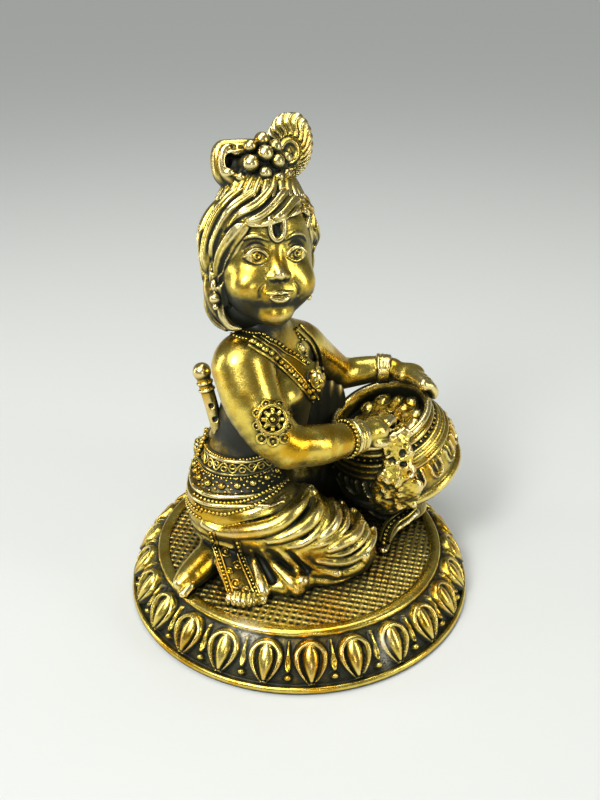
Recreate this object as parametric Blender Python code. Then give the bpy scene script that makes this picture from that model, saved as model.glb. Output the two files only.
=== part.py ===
"""An idol of a kneeling child with a butter pot, on a round lotus base.

Metres, +Z up. The origin is the centre of the base's underside. The idol is seen from -Y.
"""

import math

import bmesh
import bpy
from mathutils import Matrix, Vector

# Sizes of the lotus base.
BASE_DIAMETER = 0.100
BASE_HEIGHT = 0.0135
LIP_HEIGHT = 0.0022
LIP_WIDTH = 0.0016
RING_DIAMETER = 0.0830
RING_WIDTH = 0.0034
RING_DROP = 0.0018
FIELD_RECESS = 0.0008
PETAL_COUNT = 25
PETAL_RELIEF = 0.0017
PETAL_GROOVE = 0.0006
UNDERSIDE_BEVEL = 0.0008

# Sizes of the figure and of the pot that is cast with it.
FIGURE_HEIGHT = 0.1200
POT_DIAMETER = 0.0388
POT_HEIGHT = 0.0296
POT_MOUTH_DIAMETER = 0.0250
POT_MOUTH_DEPTH = 0.0062
POT_RIM_WIDTH = 0.0018
SEAT_CLEARANCE = 0.0003

# The grid that the figure's forms are merged on, and the share of its faces that is kept.
CAST_GRID = 0.00055
FACES_KEPT = 0.0245

# All of the figure's other numbers are 120ths of its height, measured from the middle of the base's top.
SHARE = FIGURE_HEIGHT / 120
SEAT_HEIGHT = BASE_HEIGHT - FIELD_RECESS

# The head turns and tilts back to look at the viewer.
HEAD_CENTRE = Vector((-9.3, -2.0, 88.2))
HEAD_YAW = math.radians(21)
HEAD_PITCH = math.radians(15)
HEAD_ROLL = math.radians(-3)

# The topknot's pearls, to the viewer's right of, above and in front of the head's centre.
PEARLS = [
    (2.6, 20.8, 7.6),
    (-1.4, 23.4, 6.6),
    (-1.6, 19.0, 7.6),
    (2.6, 17.0, 8.6),
    (3.0, 25.2, 5.4),
    (6.4, 18.8, 7.0),
    (6.6, 23.0, 5.4),
]
PEARL_RADIUS = 2.1
FEATHER_CENTRE = (7.7, 25.0, 2.3)
FEATHER_RADII = (6.3, 8.2, 1.2)
FEATHER_LEAN = math.radians(12)
LOCK_COUNT = 22

# The pot leans towards the child.
POT_CENTRE = Vector((28.0, 14.0, 22.0))
POT_AXIS = Vector((-0.323, -0.158, 0.933)).normalized()

# Routes of the limbs, as x, y, z and radius.
NEAR_UPPER_ARM = [
    (-14.2, -12.8, 62.0, 7.8),
    (-11.5, -17.0, 54.5, 7.5),
    (-7.0, -19.8, 46.5, 6.6),
    (-3.0, -20.0, 41.8, 5.9),
]
NEAR_FOREARM = [
    (-3.0, -20.0, 41.8, 5.9),
    (5.0, -16.8, 40.6, 5.6),
    (12.0, -11.2, 39.4, 4.6),
    (17.0, -7.0, 38.8, 3.6),
]
FAR_UPPER_ARM = [
    (1.5, 11.5, 57.0, 5.8),
    (5.5, 18.0, 51.0, 5.0),
    (10.0, 22.5, 45.5, 4.5),
    (13.0, 24.5, 42.8, 4.2),
]
FAR_FOREARM = [
    (13.0, 24.5, 42.2, 4.2),
    (19.0, 26.5, 42.8, 3.9),
    (24.0, 26.6, 43.4, 3.4),
    (28.0, 26.0, 43.4, 3.1),
]
NEAR_THIGH = [
    (-19.0, -8.0, 17.5, 12.0),
    (-8.0, -12.0, 15.5, 11.6),
    (4.0, -14.0, 12.0, 10.0),
    (13.5, -13.5, 7.6, 7.6),
]
NEAR_SHIN = [
    (14.0, -13.5, 4.5, 6.6),
    (2.0, -16.0, 4.0, 6.4),
    (-10.0, -15.0, 3.8, 5.6),
    (-20.0, -12.0, 4.2, 4.2),
]
FAR_THIGH = [
    (-16.0, 9.0, 17.0, 12.0),
    (-4.0, 15.0, 14.5, 10.8),
    (7.0, 20.0, 10.5, 8.8),
    (14.0, 22.5, 7.0, 7.2),
]
FAR_SHIN = [
    (14.0, 22.5, 4.5, 5.8),
    (2.0, 22.5, 3.8, 5.4),
    (-10.0, 20.5, 3.6, 4.8),
    (-18.0, 18.0, 3.6, 4.0),
]
NEAR_FOOT = [
    (-20.5, -11.0, 4.8, 4.2),
    (-25.0, -16.0, 4.4, 4.6),
    (-29.5, -22.0, 3.4, 3.8),
    (-32.4, -25.4, 2.8, 2.4),
]
FAR_FOOT = [
    (-18.0, 18.0, 4.2, 4.0),
    (-22.5, 21.0, 4.2, 4.2),
    (-27.0, 23.5, 3.2, 3.4),
    (-30.0, 25.5, 2.6, 2.2),
]

# The recessed wall under the far arm, between the body and the pot.
ARM_WEB = [(3.0, 16.6, 15.0, 11.0), (3.2, 17.0, 26.0, 11.0), (5.5, 18.4, 34.0, 9.5)]
ARM_WEB_FLAT = 0.26
ARM_WEB_FACING = (-0.35, 0.94, 0.0)

# Round forms of the body, as centre, three radii and turn towards the viewer in degrees.
TRUNK = [
    ((-17.5, -0.5, 18.5), (14.0, 16.0, 12.5), 0),
    ((-14.6, -1.0, 31.5), (11.2, 12.6, 11.5), 10),
    ((-9.5, -1.2, 43.0), (12.0, 13.0, 11.0), 30),
    ((-7.2, -1.4, 51.0), (11.2, 13.2, 11.0), 36),
    ((-7.4, -1.0, 58.5), (7.6, 11.6, 6.0), 36),
]
NECK = [(-9.0, -1.0, 60.0, 6.2), (-9.0, -2.0, 68.0, 5.6), (-8.6, -3.5, 76.0, 5.4)]
SHOULDERS = [(-14.0, -10.0, 63.5, 6.0), (-8.5, -2.0, 65.0, 6.2), (-0.5, 8.5, 60.0, 5.4)]

# The cloth wound round the hips: centre x, y, height, then half its length and width.
HIP_WRAP = [
    (-17.0, -0.5, 12.0, 13.4, 15.4),
    (-17.2, -0.5, 16.0, 14.4, 16.4),
    (-17.2, -0.7, 20.5, 14.2, 16.4),
    (-16.6, -0.8, 25.0, 13.4, 15.4),
    (-15.8, -0.9, 29.5, 12.2, 13.8),
    (-15.4, -1.0, 33.0, 11.2, 12.8),
]

# Belts round it: the height at the middle, how much they rise per unit towards the knees, and thickness.
BELTS = [(30.4, 0.16, 1.0), (27.0, 0.24, 0.8), (23.6, 0.34, 1.0), (20.6, 0.46, 0.8), (18.4, 0.58, 1.0)]

# The garland across the chest.
CHEST_BAND = [
    (-13.8, -15.0, 69.5, 1.2),
    (-6.0, -12.6, 63.0, 1.2),
    (1.5, -8.2, 55.0, 1.2),
    (5.4, -4.0, 49.5, 1.2),
]

# Folds of the cloth over the near thigh: where on the thigh, and how thick.
THIGH_FOLDS = [(0.22, 2.3), (0.40, 1.9), (0.55, 1.8), (0.69, 1.6), (0.83, 1.6), (0.97, 1.7)]
HEM = [
    (-10.5, -25.4, 2.2, 2.2),
    (-3.5, -24.8, 2.2, 2.4),
    (2.5, -22.0, 2.2, 2.2),
    (9.0, -21.6, 2.2, 2.2),
    (15.0, -17.6, 2.2, 2.2),
    (19.6, -12.0, 2.6, 2.4),
]

# Where the cloth's short folds run down to the hem, as x and y.
GROUND_FOLDS = [(-8.5, -21.0), (-1.0, -20.5), (6.5, -18.5)]

# The embroidered end of the sash, and the ribbon that comes out under the pot.
SASH = [
    (-21.0, -9.5, 8.4, 5.6),
    (-19.0, -16.0, 6.8, 5.4),
    (-16.4, -22.0, 3.8, 5.4),
    (-13.8, -27.2, 1.6, 5.2),
]
RIBBON = [
    (34.0, 8.0, 5.0, 2.2),
    (31.6, 3.4, 2.6, 2.3),
    (27.6, -3.4, 1.6, 2.2),
    (24.6, -8.8, 1.2, 1.8),
]

# The flute: its mouth end, a ring's place and the end tucked in the waist cloth.
FLUTE = [(-25.6, -1.5, 53.6, 1.9), (-22.6, -3.4, 41.0, 1.8), (-20.0, -5.2, 27.0, 1.8)]
FLUTE_KNOB_RADIUS = 2.6


def clear_scene():
    for obj in list(bpy.data.objects):
        bpy.data.objects.remove(obj)


def make_material(name, colour, roughness, metallic):
    material = bpy.data.materials.new(name)
    material.use_nodes = True
    shader = material.node_tree.nodes["Principled BSDF"]
    shader.inputs["Base Color"].default_value = (*colour, 1)
    shader.inputs["Roughness"].default_value = roughness
    shader.inputs["Metallic"].default_value = metallic
    return material


def mesh_from(form, name):
    bmesh.ops.recalc_face_normals(form, faces=form.faces)
    mesh = bpy.data.meshes.new(name)
    form.to_mesh(mesh)
    form.free()
    return mesh


def add_object(name, mesh):
    obj = bpy.data.objects.new(name, mesh)
    bpy.context.scene.collection.objects.link(obj)
    return obj


# Shapes shared by the pieces.


def add_ring(form, centre, across, up, radius_across, radius_up, sides):
    """One closed loop of vertices round a centre."""
    turns = [math.tau * i / sides for i in range(sides)]
    return [
        form.verts.new(centre + across * radius_across * math.cos(a) + up * radius_up * math.sin(a))
        for a in turns
    ]


def bridge(form, first, second):
    """Faces between two loops; the finer one may have twice the other's vertices."""
    if len(first) < len(second):
        first, second = second, first
    step = len(first) // len(second)
    for i in range(len(second)):
        j = (i + 1) % len(second)
        fine = [first[(i * step + k) % len(first)] for k in range(step + 1)]
        form.faces.new((*fine, second[j], second[i]))


def skin_rings(form, rings):
    """Joins loops of vertices into a closed tube with flat ends."""
    for first, second in zip(rings, rings[1:]):
        bridge(form, first, second)
    form.faces.new(list(reversed(rings[0])))
    form.faces.new(rings[-1])


def add_ball(form, centre, radii, axes=None, subdivisions=3):
    turn = axes.to_4x4() if axes else Matrix.Identity(4)
    matrix = Matrix.Translation(centre) @ turn @ Matrix.Diagonal((*radii, 1))
    bmesh.ops.create_icosphere(form, subdivisions=subdivisions, radius=1, matrix=matrix)


def smooth_route(stations, steps=4):
    """A curve through the stations, as (point, radius) pairs."""
    points = [Vector(s) for s in stations]
    ends = [2 * points[0] - points[1], *points, 2 * points[-1] - points[-2]]
    route = []
    for before, start, end, after in zip(ends, ends[1:], ends[2:], ends[3:]):
        for step in range(steps):
            t = step / steps
            linear = (end - before) * t
            square = (2 * before - 5 * start + 4 * end - after) * t**2
            cube = (3 * start - before - 3 * end + after) * t**3
            route.append(0.5 * (2 * start + linear + square + cube))
    route.append(points[-1])
    return [(Vector(p[:3]), p[3]) for p in route]


def cross_axes(along, guide):
    """Two directions across a route, the second one near the guide."""
    up = (guide - guide.dot(along) * along).normalized()
    return up.cross(along), up


def add_limb(form, stations, sides=12, flat=1.0, guide=(0.31, 0.87, 0.39)):
    """A tapering limb with ball ends; flat narrows it along the guide."""
    route = smooth_route(stations)
    guide = Vector(guide)
    rings = []
    for i, (centre, radius) in enumerate(route):
        behind = route[max(i - 1, 0)][0]
        ahead = route[min(i + 1, len(route) - 1)][0]
        across, up = cross_axes((ahead - behind).normalized(), guide)
        rings.append(add_ring(form, centre, across, up, radius, radius * flat, sides))
    skin_rings(form, rings)
    for (centre, radius), (neighbour, _) in ((route[0], route[1]), (route[-1], route[-2])):
        along = (centre - neighbour).normalized()
        across, up = cross_axes(along, guide)
        axes = Matrix((across, up, along)).transposed()
        add_ball(form, centre, (radius, radius * flat, radius), axes, 2)


def add_hoop(form, points, radius, sides=8):
    """A closed round cord through the points."""
    rings = []
    count = len(points)
    middle = sum(points, Vector()) / count
    for i, point in enumerate(points):
        along = (points[(i + 1) % count] - points[i - 1]).normalized()
        across, up = cross_axes(along, point - middle)
        rings.append(add_ring(form, point, across, up, radius, radius, sides))
    for first, second in zip(rings, [*rings[1:], rings[0]]):
        bridge(form, first, second)


def add_turned(form, centre, axis, profile, sides):
    """A body turned round an axis through centre, from (distance along, radius) pairs."""
    across = axis.orthogonal().normalized()
    up = axis.cross(across)
    skin_rings(form, [add_ring(form, centre + axis * s, across, up, r, r, sides) for s, r in profile])


# The lotus base.


def petal_half_width(t):
    """Half the petal's width, as a share of half its sector; t runs from its round top to its tip."""
    widest, share = 0.40, 0.72
    if t < widest:
        return share * math.sqrt(max(0.0, 1 - (1 - t / widest) ** 2))
    return share * math.cos((t - widest) / (1 - widest) * 1.48)


def petal_sector(t):
    """Columns across one sector, as (turn, height): shares of half the sector and of the relief."""
    half = max(petal_half_width(t), 0.05)
    edge = min(half + 0.07, 0.86)
    ends = math.sin(math.pi * t) ** 0.4
    dart = 0.12 + 0.5 * math.exp(-(((t - 0.62) / 0.18) ** 2)) + 0.6 * math.exp(-(((t - 0.9) / 0.08) ** 2))
    return [
        (-1.0, dart),
        (-edge, -1.0),
        (-half * 0.80, 0.95 * ends),
        (-half * 0.42, 0.20 * ends),
        (0.0, 0.90 * ends),
        (half * 0.42, 0.20 * ends),
        (half * 0.80, 0.95 * ends),
        (edge, -1.0),
    ]


def slope_point(t):
    """The petals' ground as (radius, height), and its outward normal; t runs from ring to lip."""
    top = Vector((RING_DIAMETER / 2 + 0.0003, BASE_HEIGHT - RING_DROP))
    foot = Vector((BASE_DIAMETER / 2 - LIP_WIDTH, LIP_HEIGHT))
    normal = Vector((top.y - foot.y, foot.x - top.x)).normalized()
    return top.lerp(foot, t) + normal * (0.0011 * math.sin(math.pi * t)), normal


def plain_row(radius, height):
    """A coarse row of the base, with every second column, as (angle, radius, height)."""
    half_sector = math.pi / PETAL_COUNT
    turns = [turn for turn, _ in petal_sector(0.5)][::2]
    return [(half_sector * (2 * k + turn), radius, height) for k in range(PETAL_COUNT) for turn in turns]


def petal_row(t):
    half_sector = math.pi / PETAL_COUNT
    ground, normal = slope_point(t)
    row = []
    for k in range(PETAL_COUNT):
        for turn, height in petal_sector(t):
            point = ground + normal * height * (PETAL_RELIEF if height > 0 else PETAL_GROOVE)
            row.append((half_sector * (2 * k + turn), point.x, point.y))
    return row


def base_rows():
    """The base's rows from its field's edge, over the ring and the petals, to its underside."""
    ring_out = RING_DIAMETER / 2
    ring_in = ring_out - RING_WIDTH
    rim = BASE_DIAMETER / 2
    return [
        plain_row(ring_in, BASE_HEIGHT - FIELD_RECESS),
        plain_row(ring_in + RING_WIDTH * 0.45, BASE_HEIGHT),
        plain_row(ring_out, BASE_HEIGHT - RING_DROP * 0.4),
        *[petal_row(t) for t in (0.03, 0.18, 0.40, 0.66, 0.92)],
        plain_row(rim - LIP_WIDTH * 0.6, LIP_HEIGHT),
        plain_row(rim, LIP_HEIGHT * 0.45),
        plain_row(rim - UNDERSIDE_BEVEL, 0.0),
    ]


def make_base():
    form = bmesh.new()
    rings = [
        [form.verts.new((r * math.cos(a), r * math.sin(a), z)) for a, r, z in row]
        for row in base_rows()
    ]
    skin_rings(form, rings)
    base = add_object("lotus_base", mesh_from(form, "lotus_base"))
    base.data.shade_smooth()
    base.data.set_sharp_from_angle(angle=math.radians(38))
    return base


def make_seat_cutter():
    """The space that the base takes, with its clearance. It shapes the figure's underside."""
    gap = SEAT_CLEARANCE
    ring_out = RING_DIAMETER / 2
    ring_in = ring_out - RING_WIDTH
    rim = BASE_DIAMETER / 2 + gap
    profile = [(-0.004, rim), (LIP_HEIGHT + gap, rim)]
    for t in (1.0, 0.75, 0.5, 0.25, 0.0):
        ground, normal = slope_point(t)
        point = ground + normal * (PETAL_RELIEF + gap)
        profile.append((point.y, point.x))
    profile += [
        (BASE_HEIGHT + gap, ring_out),
        (BASE_HEIGHT + gap, ring_in + RING_WIDTH * 0.4),
        (BASE_HEIGHT - FIELD_RECESS + gap, ring_in - gap),
    ]
    form = bmesh.new()
    add_turned(form, Vector(), Vector((0, 0, 1)), profile, 64)
    cutter = add_object("seat_cutter", mesh_from(form, "seat_cutter"))
    cutter.hide_render = True
    cutter.display_type = "WIRE"
    return cutter


# The body.


def add_body(form):
    for centre, radii, turn in TRUNK:
        add_ball(form, Vector(centre), radii, Matrix.Rotation(-math.radians(turn), 3, "Z"))
    routes = (NECK, SHOULDERS, NEAR_UPPER_ARM, NEAR_FOREARM, FAR_UPPER_ARM, FAR_FOREARM)
    for route in routes:
        add_limb(form, route)
    for route in (NEAR_THIGH, NEAR_SHIN, FAR_THIGH, FAR_SHIN, NEAR_FOOT, FAR_FOOT):
        add_limb(form, route)
    add_limb(form, ARM_WEB, sides=16, flat=ARM_WEB_FLAT, guide=ARM_WEB_FACING)


def add_hands(form):
    """The near hand in the butter at the rim, and the far one laid over the pot's shoulder."""
    add_ball(form, Vector((20.6, -4.4, 38.9)), (4.4, 3.7, 3.4))
    for k in range(4):
        side = 1.8 * k - 2.6
        finger = [
            (21.6 + side, -4.0 + 0.3 * k, 39.8, 1.7),
            (23.0 + side, -0.6 + 0.3 * k, 40.0, 1.6),
            (23.6 + side, 2.0 + 0.3 * k, 37.2, 1.3),
        ]
        add_limb(form, finger, sides=8)
    add_ball(form, Vector((32.4, 23.6, 43.0)), (4.6, 3.6, 2.9))
    for k in range(4):
        finger = [
            (34.2 + 0.2 * k, 24.4 - 1.9 * k, 43.2 - 0.2 * k, 1.8),
            (37.4 + 0.3 * k, 22.4 - 1.9 * k, 41.8 - 0.5 * k, 1.7),
            (38.8 + 0.3 * k, 20.8 - 1.9 * k, 38.6 - 0.9 * k, 1.4),
        ]
        add_limb(form, finger, sides=8)


# The head.


def head_axes():
    """Columns: the viewer's right, up, and out of the face."""
    level = math.cos(HEAD_PITCH)
    face = Vector((math.sin(HEAD_YAW) * level, -math.cos(HEAD_YAW) * level, math.sin(HEAD_PITCH)))
    up = (Vector((0, 0, 1)) - face.z * face).normalized()
    turn = Matrix.Rotation(HEAD_ROLL, 3, face)
    return Matrix((turn @ up.cross(face), turn @ up, face)).transposed()


def on_head(right, up, out):
    return HEAD_CENTRE + head_axes() @ Vector((right, up, out))


def add_head_limb(form, stations, sides=10):
    add_limb(form, [(*on_head(*s[:3]), s[3]) for s in stations], sides=sides)


def add_face(form):
    """A generic child's face on even proportions, with its eyes on the middle line."""
    axes = head_axes()
    add_ball(form, on_head(0, 2.2, -1.0), (12.6, 15.2, 13.6), axes)
    add_ball(form, on_head(0, -7.0, 3.0), (10.4, 10.4, 9.6), axes)
    add_ball(form, on_head(0, -15.6, 8.0), (3.8, 3.0, 3.4), axes, 2)
    for side in (-1, 1):
        add_ball(form, on_head(6.0 * side, -6.4, 6.8), (4.8, 4.8, 4.8), axes, 2)
        add_ball(form, on_head(4.8 * side, 0.4, 10.4), (2.7, 1.8, 2.1), axes, 2)
        add_ball(form, on_head(1.5 * side, -5.4, 12.6), (1.2, 1.1, 1.4), axes, 2)
        add_ball(form, on_head(12.6 * side, -2.6, -0.6), (1.6, 3.6, 2.5), axes, 2)
        add_ball(form, on_head(13.4 * side, -7.8, 0.6), (1.7, 1.7, 1.7), axes, 2)
        brow = [(1.8 * side, 3.4, 12.4, 0.6), (5.0 * side, 4.8, 11.8, 0.7), (8.4 * side, 3.2, 9.8, 0.5)]
        add_head_limb(form, brow, 8)
    add_head_limb(form, [(0, 1.5, 12.2, 1.3), (0, -2.0, 13.2, 1.4), (0, -4.8, 14.2, 1.7)])
    add_head_limb(form, [(-2.9, -9.9, 11.4, 0.9), (0, -10.3, 12.7, 1.3), (2.9, -9.9, 11.4, 0.9)])
    add_head_limb(form, [(-2.0, -11.6, 11.4, 0.9), (0, -12.0, 12.2, 1.2), (2.0, -11.6, 11.4, 0.9)])
    mark = [(-1.6, 11.0, 12.0, 0.5), (-1.5, 7.4, 13.2, 0.5), (0, 6.2, 13.5, 0.5), (1.5, 7.4, 13.2, 0.5)]
    add_head_limb(form, [*mark, (1.6, 11.0, 12.0, 0.5)], 8)


def lock_stations(k):
    """One combed lock, from the crown over the brow or down behind the ear."""
    turn = math.radians(-170 + 340 * k / (LOCK_COUNT - 1))
    across, out = math.sin(turn), math.cos(turn)
    wave = 0.8 * (-1) ** k
    if out > 0.72:
        low, inward = 8.6, 13.0
    elif out > 0.1:
        low, inward = 1.0, 13.0
    else:
        low, inward = -16.5, 10.6
    stations = [
        (across * 4.5 + 1.5, 17.6, out * 4.0 + 1.0, 1.3),
        (across * 9.8, 15.0, out * 9.2 - 1.2, 1.9),
        (across * 13.2 + wave, 8.4 if low > 5 else 4.0, out * 12.8 - 1.4, 2.2),
        (across * inward - wave, low, out * (inward - 1.0) - 2.0, 1.7),
    ]
    if low < -10:
        stations.insert(3, (across * 13.5, -6.0, out * 12.4 - 1.8, 2.2))
    return stations


def add_hair(form):
    """A cap over the skull, combed locks round it, and the topknot with its pearls and feather."""
    axes = head_axes()
    add_ball(form, on_head(0, 4.0, -3.2), (13.2, 14.0, 13.0), axes)
    add_ball(form, on_head(-0.5, -6.0, -6.5), (11.6, 13.4, 8.6), axes)
    for k in range(LOCK_COUNT):
        add_head_limb(form, lock_stations(k))
    add_ball(form, on_head(0.5, 20.4, 2.0), (8.2, 5.0, 5.6), axes)
    add_ball(form, on_head(-6.6, 20.6, 1.6), (5.0, 5.0, 3.2), axes)
    loop = [(-2.0, 24.4, 3.0, 1.8), (-7.6, 24.4, 3.0, 2.0), (-10.0, 19.8, 2.4, 2.0), (-6.6, 16.2, 2.4, 1.8)]
    add_head_limb(form, loop)
    for place in PEARLS:
        add_ball(form, on_head(*place), (PEARL_RADIUS,) * 3, axes, 2)
    turn = axes @ Matrix.Rotation(-FEATHER_LEAN, 3, "Z")
    add_ball(form, on_head(*FEATHER_CENTRE), FEATHER_RADII, turn)


# The dress.


def wrap_section(height):
    """The hip wrap's centre x and y, half length and half width at a height."""
    height = min(max(height, HIP_WRAP[0][2]), HIP_WRAP[-1][2])
    below = [s for s in HIP_WRAP if s[2] <= height][-1]
    above = [s for s in HIP_WRAP if s[2] >= height][0]
    share = 0 if above == below else (height - below[2]) / (above[2] - below[2])
    return [below[k] + (above[k] - below[k]) * share for k in (0, 1, 3, 4)]


def belt_points(height, slope, grow, count=28):
    """A loop round the hip wrap, a little proud of it, that rises towards the knees."""
    points = []
    for step in range(count):
        turn = math.tau * step / count
        level = height + slope * 13.0 * math.cos(turn)
        x, y, long, wide = wrap_section(level)
        across, deep = (long + grow) * math.cos(turn), (wide + grow) * math.sin(turn)
        points.append(Vector((x + across, y + deep, level)))
    return points


def around_thigh(place, turn, lift):
    """A point on the near thigh; place runs from hip to knee, and turn from the viewer's side up."""
    route = smooth_route(NEAR_THIGH)
    at = min(max(place, 0.0), 1.0) * (len(route) - 1)
    low = min(int(at), len(route) - 2)
    centre = route[low][0].lerp(route[low + 1][0], at - low)
    radius = route[low][1] + (route[low + 1][1] - route[low][1]) * (at - low)
    near = Vector((0.25, -0.97, 0))
    return centre + (near * math.cos(turn) + Vector((0, 0, 1)) * math.sin(turn)) * (radius + lift)


def add_dress(form):
    rings = [
        add_ring(form, Vector(s[:3]), Vector((1, 0, 0)), Vector((0, 1, 0)), s[3], s[4], 24)
        for s in HIP_WRAP
    ]
    skin_rings(form, rings)
    for height, slope, radius in BELTS:
        add_hoop(form, belt_points(height, slope, radius * 0.5), radius)
    for place, thickness in THIGH_FOLDS:
        fold = []
        for step in range(6):
            turn = math.radians(100 - 35 * step)
            along = place - 0.16 + 0.16 * math.cos(turn)
            fold.append((*around_thigh(along, turn, 0.1), thickness * (0.7 + 0.3 * math.cos(turn))))
        add_limb(form, fold, sides=10)
    add_limb(form, HEM, sides=10)
    for x, y in GROUND_FOLDS:
        drape = [(x - 2.0, y + 5, 7.0, 2.6), (x, y, 4.6, 2.4), (x + 1.0, y - 4.4, 2.4, 2.0)]
        add_limb(form, drape, sides=10)
    add_limb(form, SASH, flat=0.34, guide=(0.25, -0.45, 0.86))
    add_limb(form, RIBBON, flat=0.6, guide=(0, 0, 1), sides=10)


# Jewellery and the flute.


def add_band(form, route, place, radius):
    """A round band about a limb at one of its route's points."""
    centre, limb_radius = route[place]
    along = (route[place + 1][0] - route[place - 1][0]).normalized()
    across, up = cross_axes(along, Vector((0.31, 0.87, 0.39)))
    turns = [math.tau * i / 14 for i in range(14)]
    reach = limb_radius + radius * 0.3
    add_hoop(form, [centre + (across * math.cos(a) + up * math.sin(a)) * reach for a in turns], radius, 6)


def add_jewellery(form):
    near, far = smooth_route(NEAR_FOREARM), smooth_route(FAR_FOREARM)
    for route, places in ((near, (9, 10, 11)), (far, (8, 9, 10, 11))):
        for place in places:
            add_band(form, route, place, 0.8)
    add_ball(form, Vector((-8.8, -25.6, 51.5)), (4.6, 1.8, 4.8))
    add_limb(form, CHEST_BAND, sides=8)
    add_ball(form, Vector((5.2, -4.4, 52.0)), (2.2, 2.2, 2.6), None, 2)
    turns = [math.tau * i / 20 for i in range(20)]
    middle = Vector((-8.6, -2.0, 66.0))
    collar = [middle + Vector((8.2 * math.cos(a), 7.6 * math.sin(a), -3.0 * math.cos(a))) for a in turns]
    add_hoop(form, collar, 1.1)


def add_flute(form):
    add_limb(form, FLUTE, sides=10)
    add_ball(form, Vector(FLUTE[0][:3]) + Vector((-0.3, 0.2, 1.4)), (FLUTE_KNOB_RADIUS,) * 3, None, 2)


# The pot.


def on_pot(along, radius, turn):
    """A point round the pot's axis; turn 0 is towards the viewer, and positive to the right."""
    viewer = Vector((0, -1, 0))
    front = (viewer - viewer.dot(POT_AXIS) * POT_AXIS).normalized()
    right = POT_AXIS.cross(front)
    return POT_CENTRE + POT_AXIS * along + (front * math.cos(turn) + right * math.sin(turn)) * radius


def pot_profile():
    """(distance along the axis, radius) pairs, from the pot's foot over its rim down to the butter."""
    belly = POT_DIAMETER / 2 / SHARE
    mouth = POT_MOUTH_DIAMETER / 2 / SHARE
    rim = mouth + POT_RIM_WIDTH / SHARE
    top = POT_HEIGHT / 2 / SHARE
    butter = top - POT_MOUTH_DEPTH / SHARE
    return [
        (-top, belly * 0.42),
        (-top * 0.88, belly * 0.66),
        (-top * 0.55, belly * 0.91),
        (-top * 0.44, belly * 0.98),
        (-top * 0.33, belly * 0.95),
        (0.0, belly * 0.97),
        (top * 0.32, belly * 0.92),
        (top * 0.40, belly * 0.94),
        (top * 0.48, belly * 0.86),
        (top * 0.72, belly * 0.74),
        (top * 0.80, rim * 0.95),
        (top * 0.92, rim),
        (top, rim * 0.95),
        (top * 0.985, mouth),
        (butter, mouth * 0.96),
    ]


def add_pot(form):
    add_turned(form, POT_CENTRE, POT_AXIS, pot_profile(), 32)
    belly = POT_DIAMETER / 2 / SHARE
    for k in range(18):
        turn = math.tau * k / 18
        petal = [(*on_pot(3.4, belly * 0.95, turn), 1.5), (*on_pot(-3.2, belly * 0.97, turn), 1.5)]
        add_limb(form, petal, sides=8)
    top = POT_HEIGHT / 2 / SHARE
    heap = [(0.55, 5.0, -1.2, 4.2), (0.62, 4.6, 1.6, 3.8), (0.60, 6.6, 3.4, 3.2), (0.56, 6.2, -2.8, 3.0)]
    for along, radius, turn, size in heap:
        add_ball(form, on_pot(top * along, radius, turn), (size, size, size * 0.6), None, 2)
    drip = [(13.6, 13.0, 3.6), (10.0, 14.6, 3.4), (5.0, 18.0, 3.4), (0.0, 18.9, 3.8), (-5.0, 18.2, 3.4)]
    for along, radius, size in drip:
        add_ball(form, on_pot(along, radius, -0.03 - 0.012 * along), (size, size * 0.6, size), None, 2)
    for turn in (-0.28, 0.28):
        add_ball(form, on_pot(-5.0, 18.2, turn), (2.8, 2.0, 2.8), None, 2)
    stand = [(POT_CENTRE.x + 2.0, POT_CENTRE.y + 1.0, z) for z in (0.0, 5.0)]
    add_limb(form, [(*stand[0], 9.5), (*stand[1], 8.0)], sides=20)


def fill_figure(form):
    add_body(form)
    add_hands(form)
    add_face(form)
    add_hair(form)
    add_dress(form)
    add_jewellery(form)
    add_flute(form)
    add_pot(form)
    bmesh.ops.scale(form, vec=(SHARE, SHARE, SHARE), verts=form.verts)
    bmesh.ops.translate(form, vec=(0, 0, SEAT_HEIGHT), verts=form.verts)


def make_figure(seat):
    """Merges the forms as one casting, eases their joints, and cuts the underside to the base."""
    form = bmesh.new()
    fill_figure(form)
    figure = add_object("krishna_figure", mesh_from(form, "krishna_figure"))
    merge = figure.modifiers.new("merge_forms", "REMESH")
    merge.mode = "VOXEL"
    merge.voxel_size = CAST_GRID
    soften = figure.modifiers.new("soften", "SMOOTH")
    soften.factor = 0.5
    soften.iterations = 2
    fewer = figure.modifiers.new("fewer_faces", "DECIMATE")
    fewer.ratio = FACES_KEPT
    sit = figure.modifiers.new("sit_on_base", "BOOLEAN")
    sit.operation = "DIFFERENCE"
    sit.object = seat
    return figure


def main():
    clear_scene()
    base = make_base()
    figure = make_figure(make_seat_cutter())
    for obj in (base, figure):
        obj.data.materials.append(make_material(obj.name + "_gold", (0.60, 0.42, 0.13), 0.28, 1.0))


main()
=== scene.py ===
"""Looks of a kneeling child with a butter pot, on a round lotus base.

The figure is sculpted as signed distances on fine grids and skinned as meshes; the base is rows of points.
Numbers are millimetres from the middle of the base's top field, or pixels of the 600 by 800 photo.
"""

import math

import bmesh
import bpy
import numpy as np
from mathutils import Matrix, Vector


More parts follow.
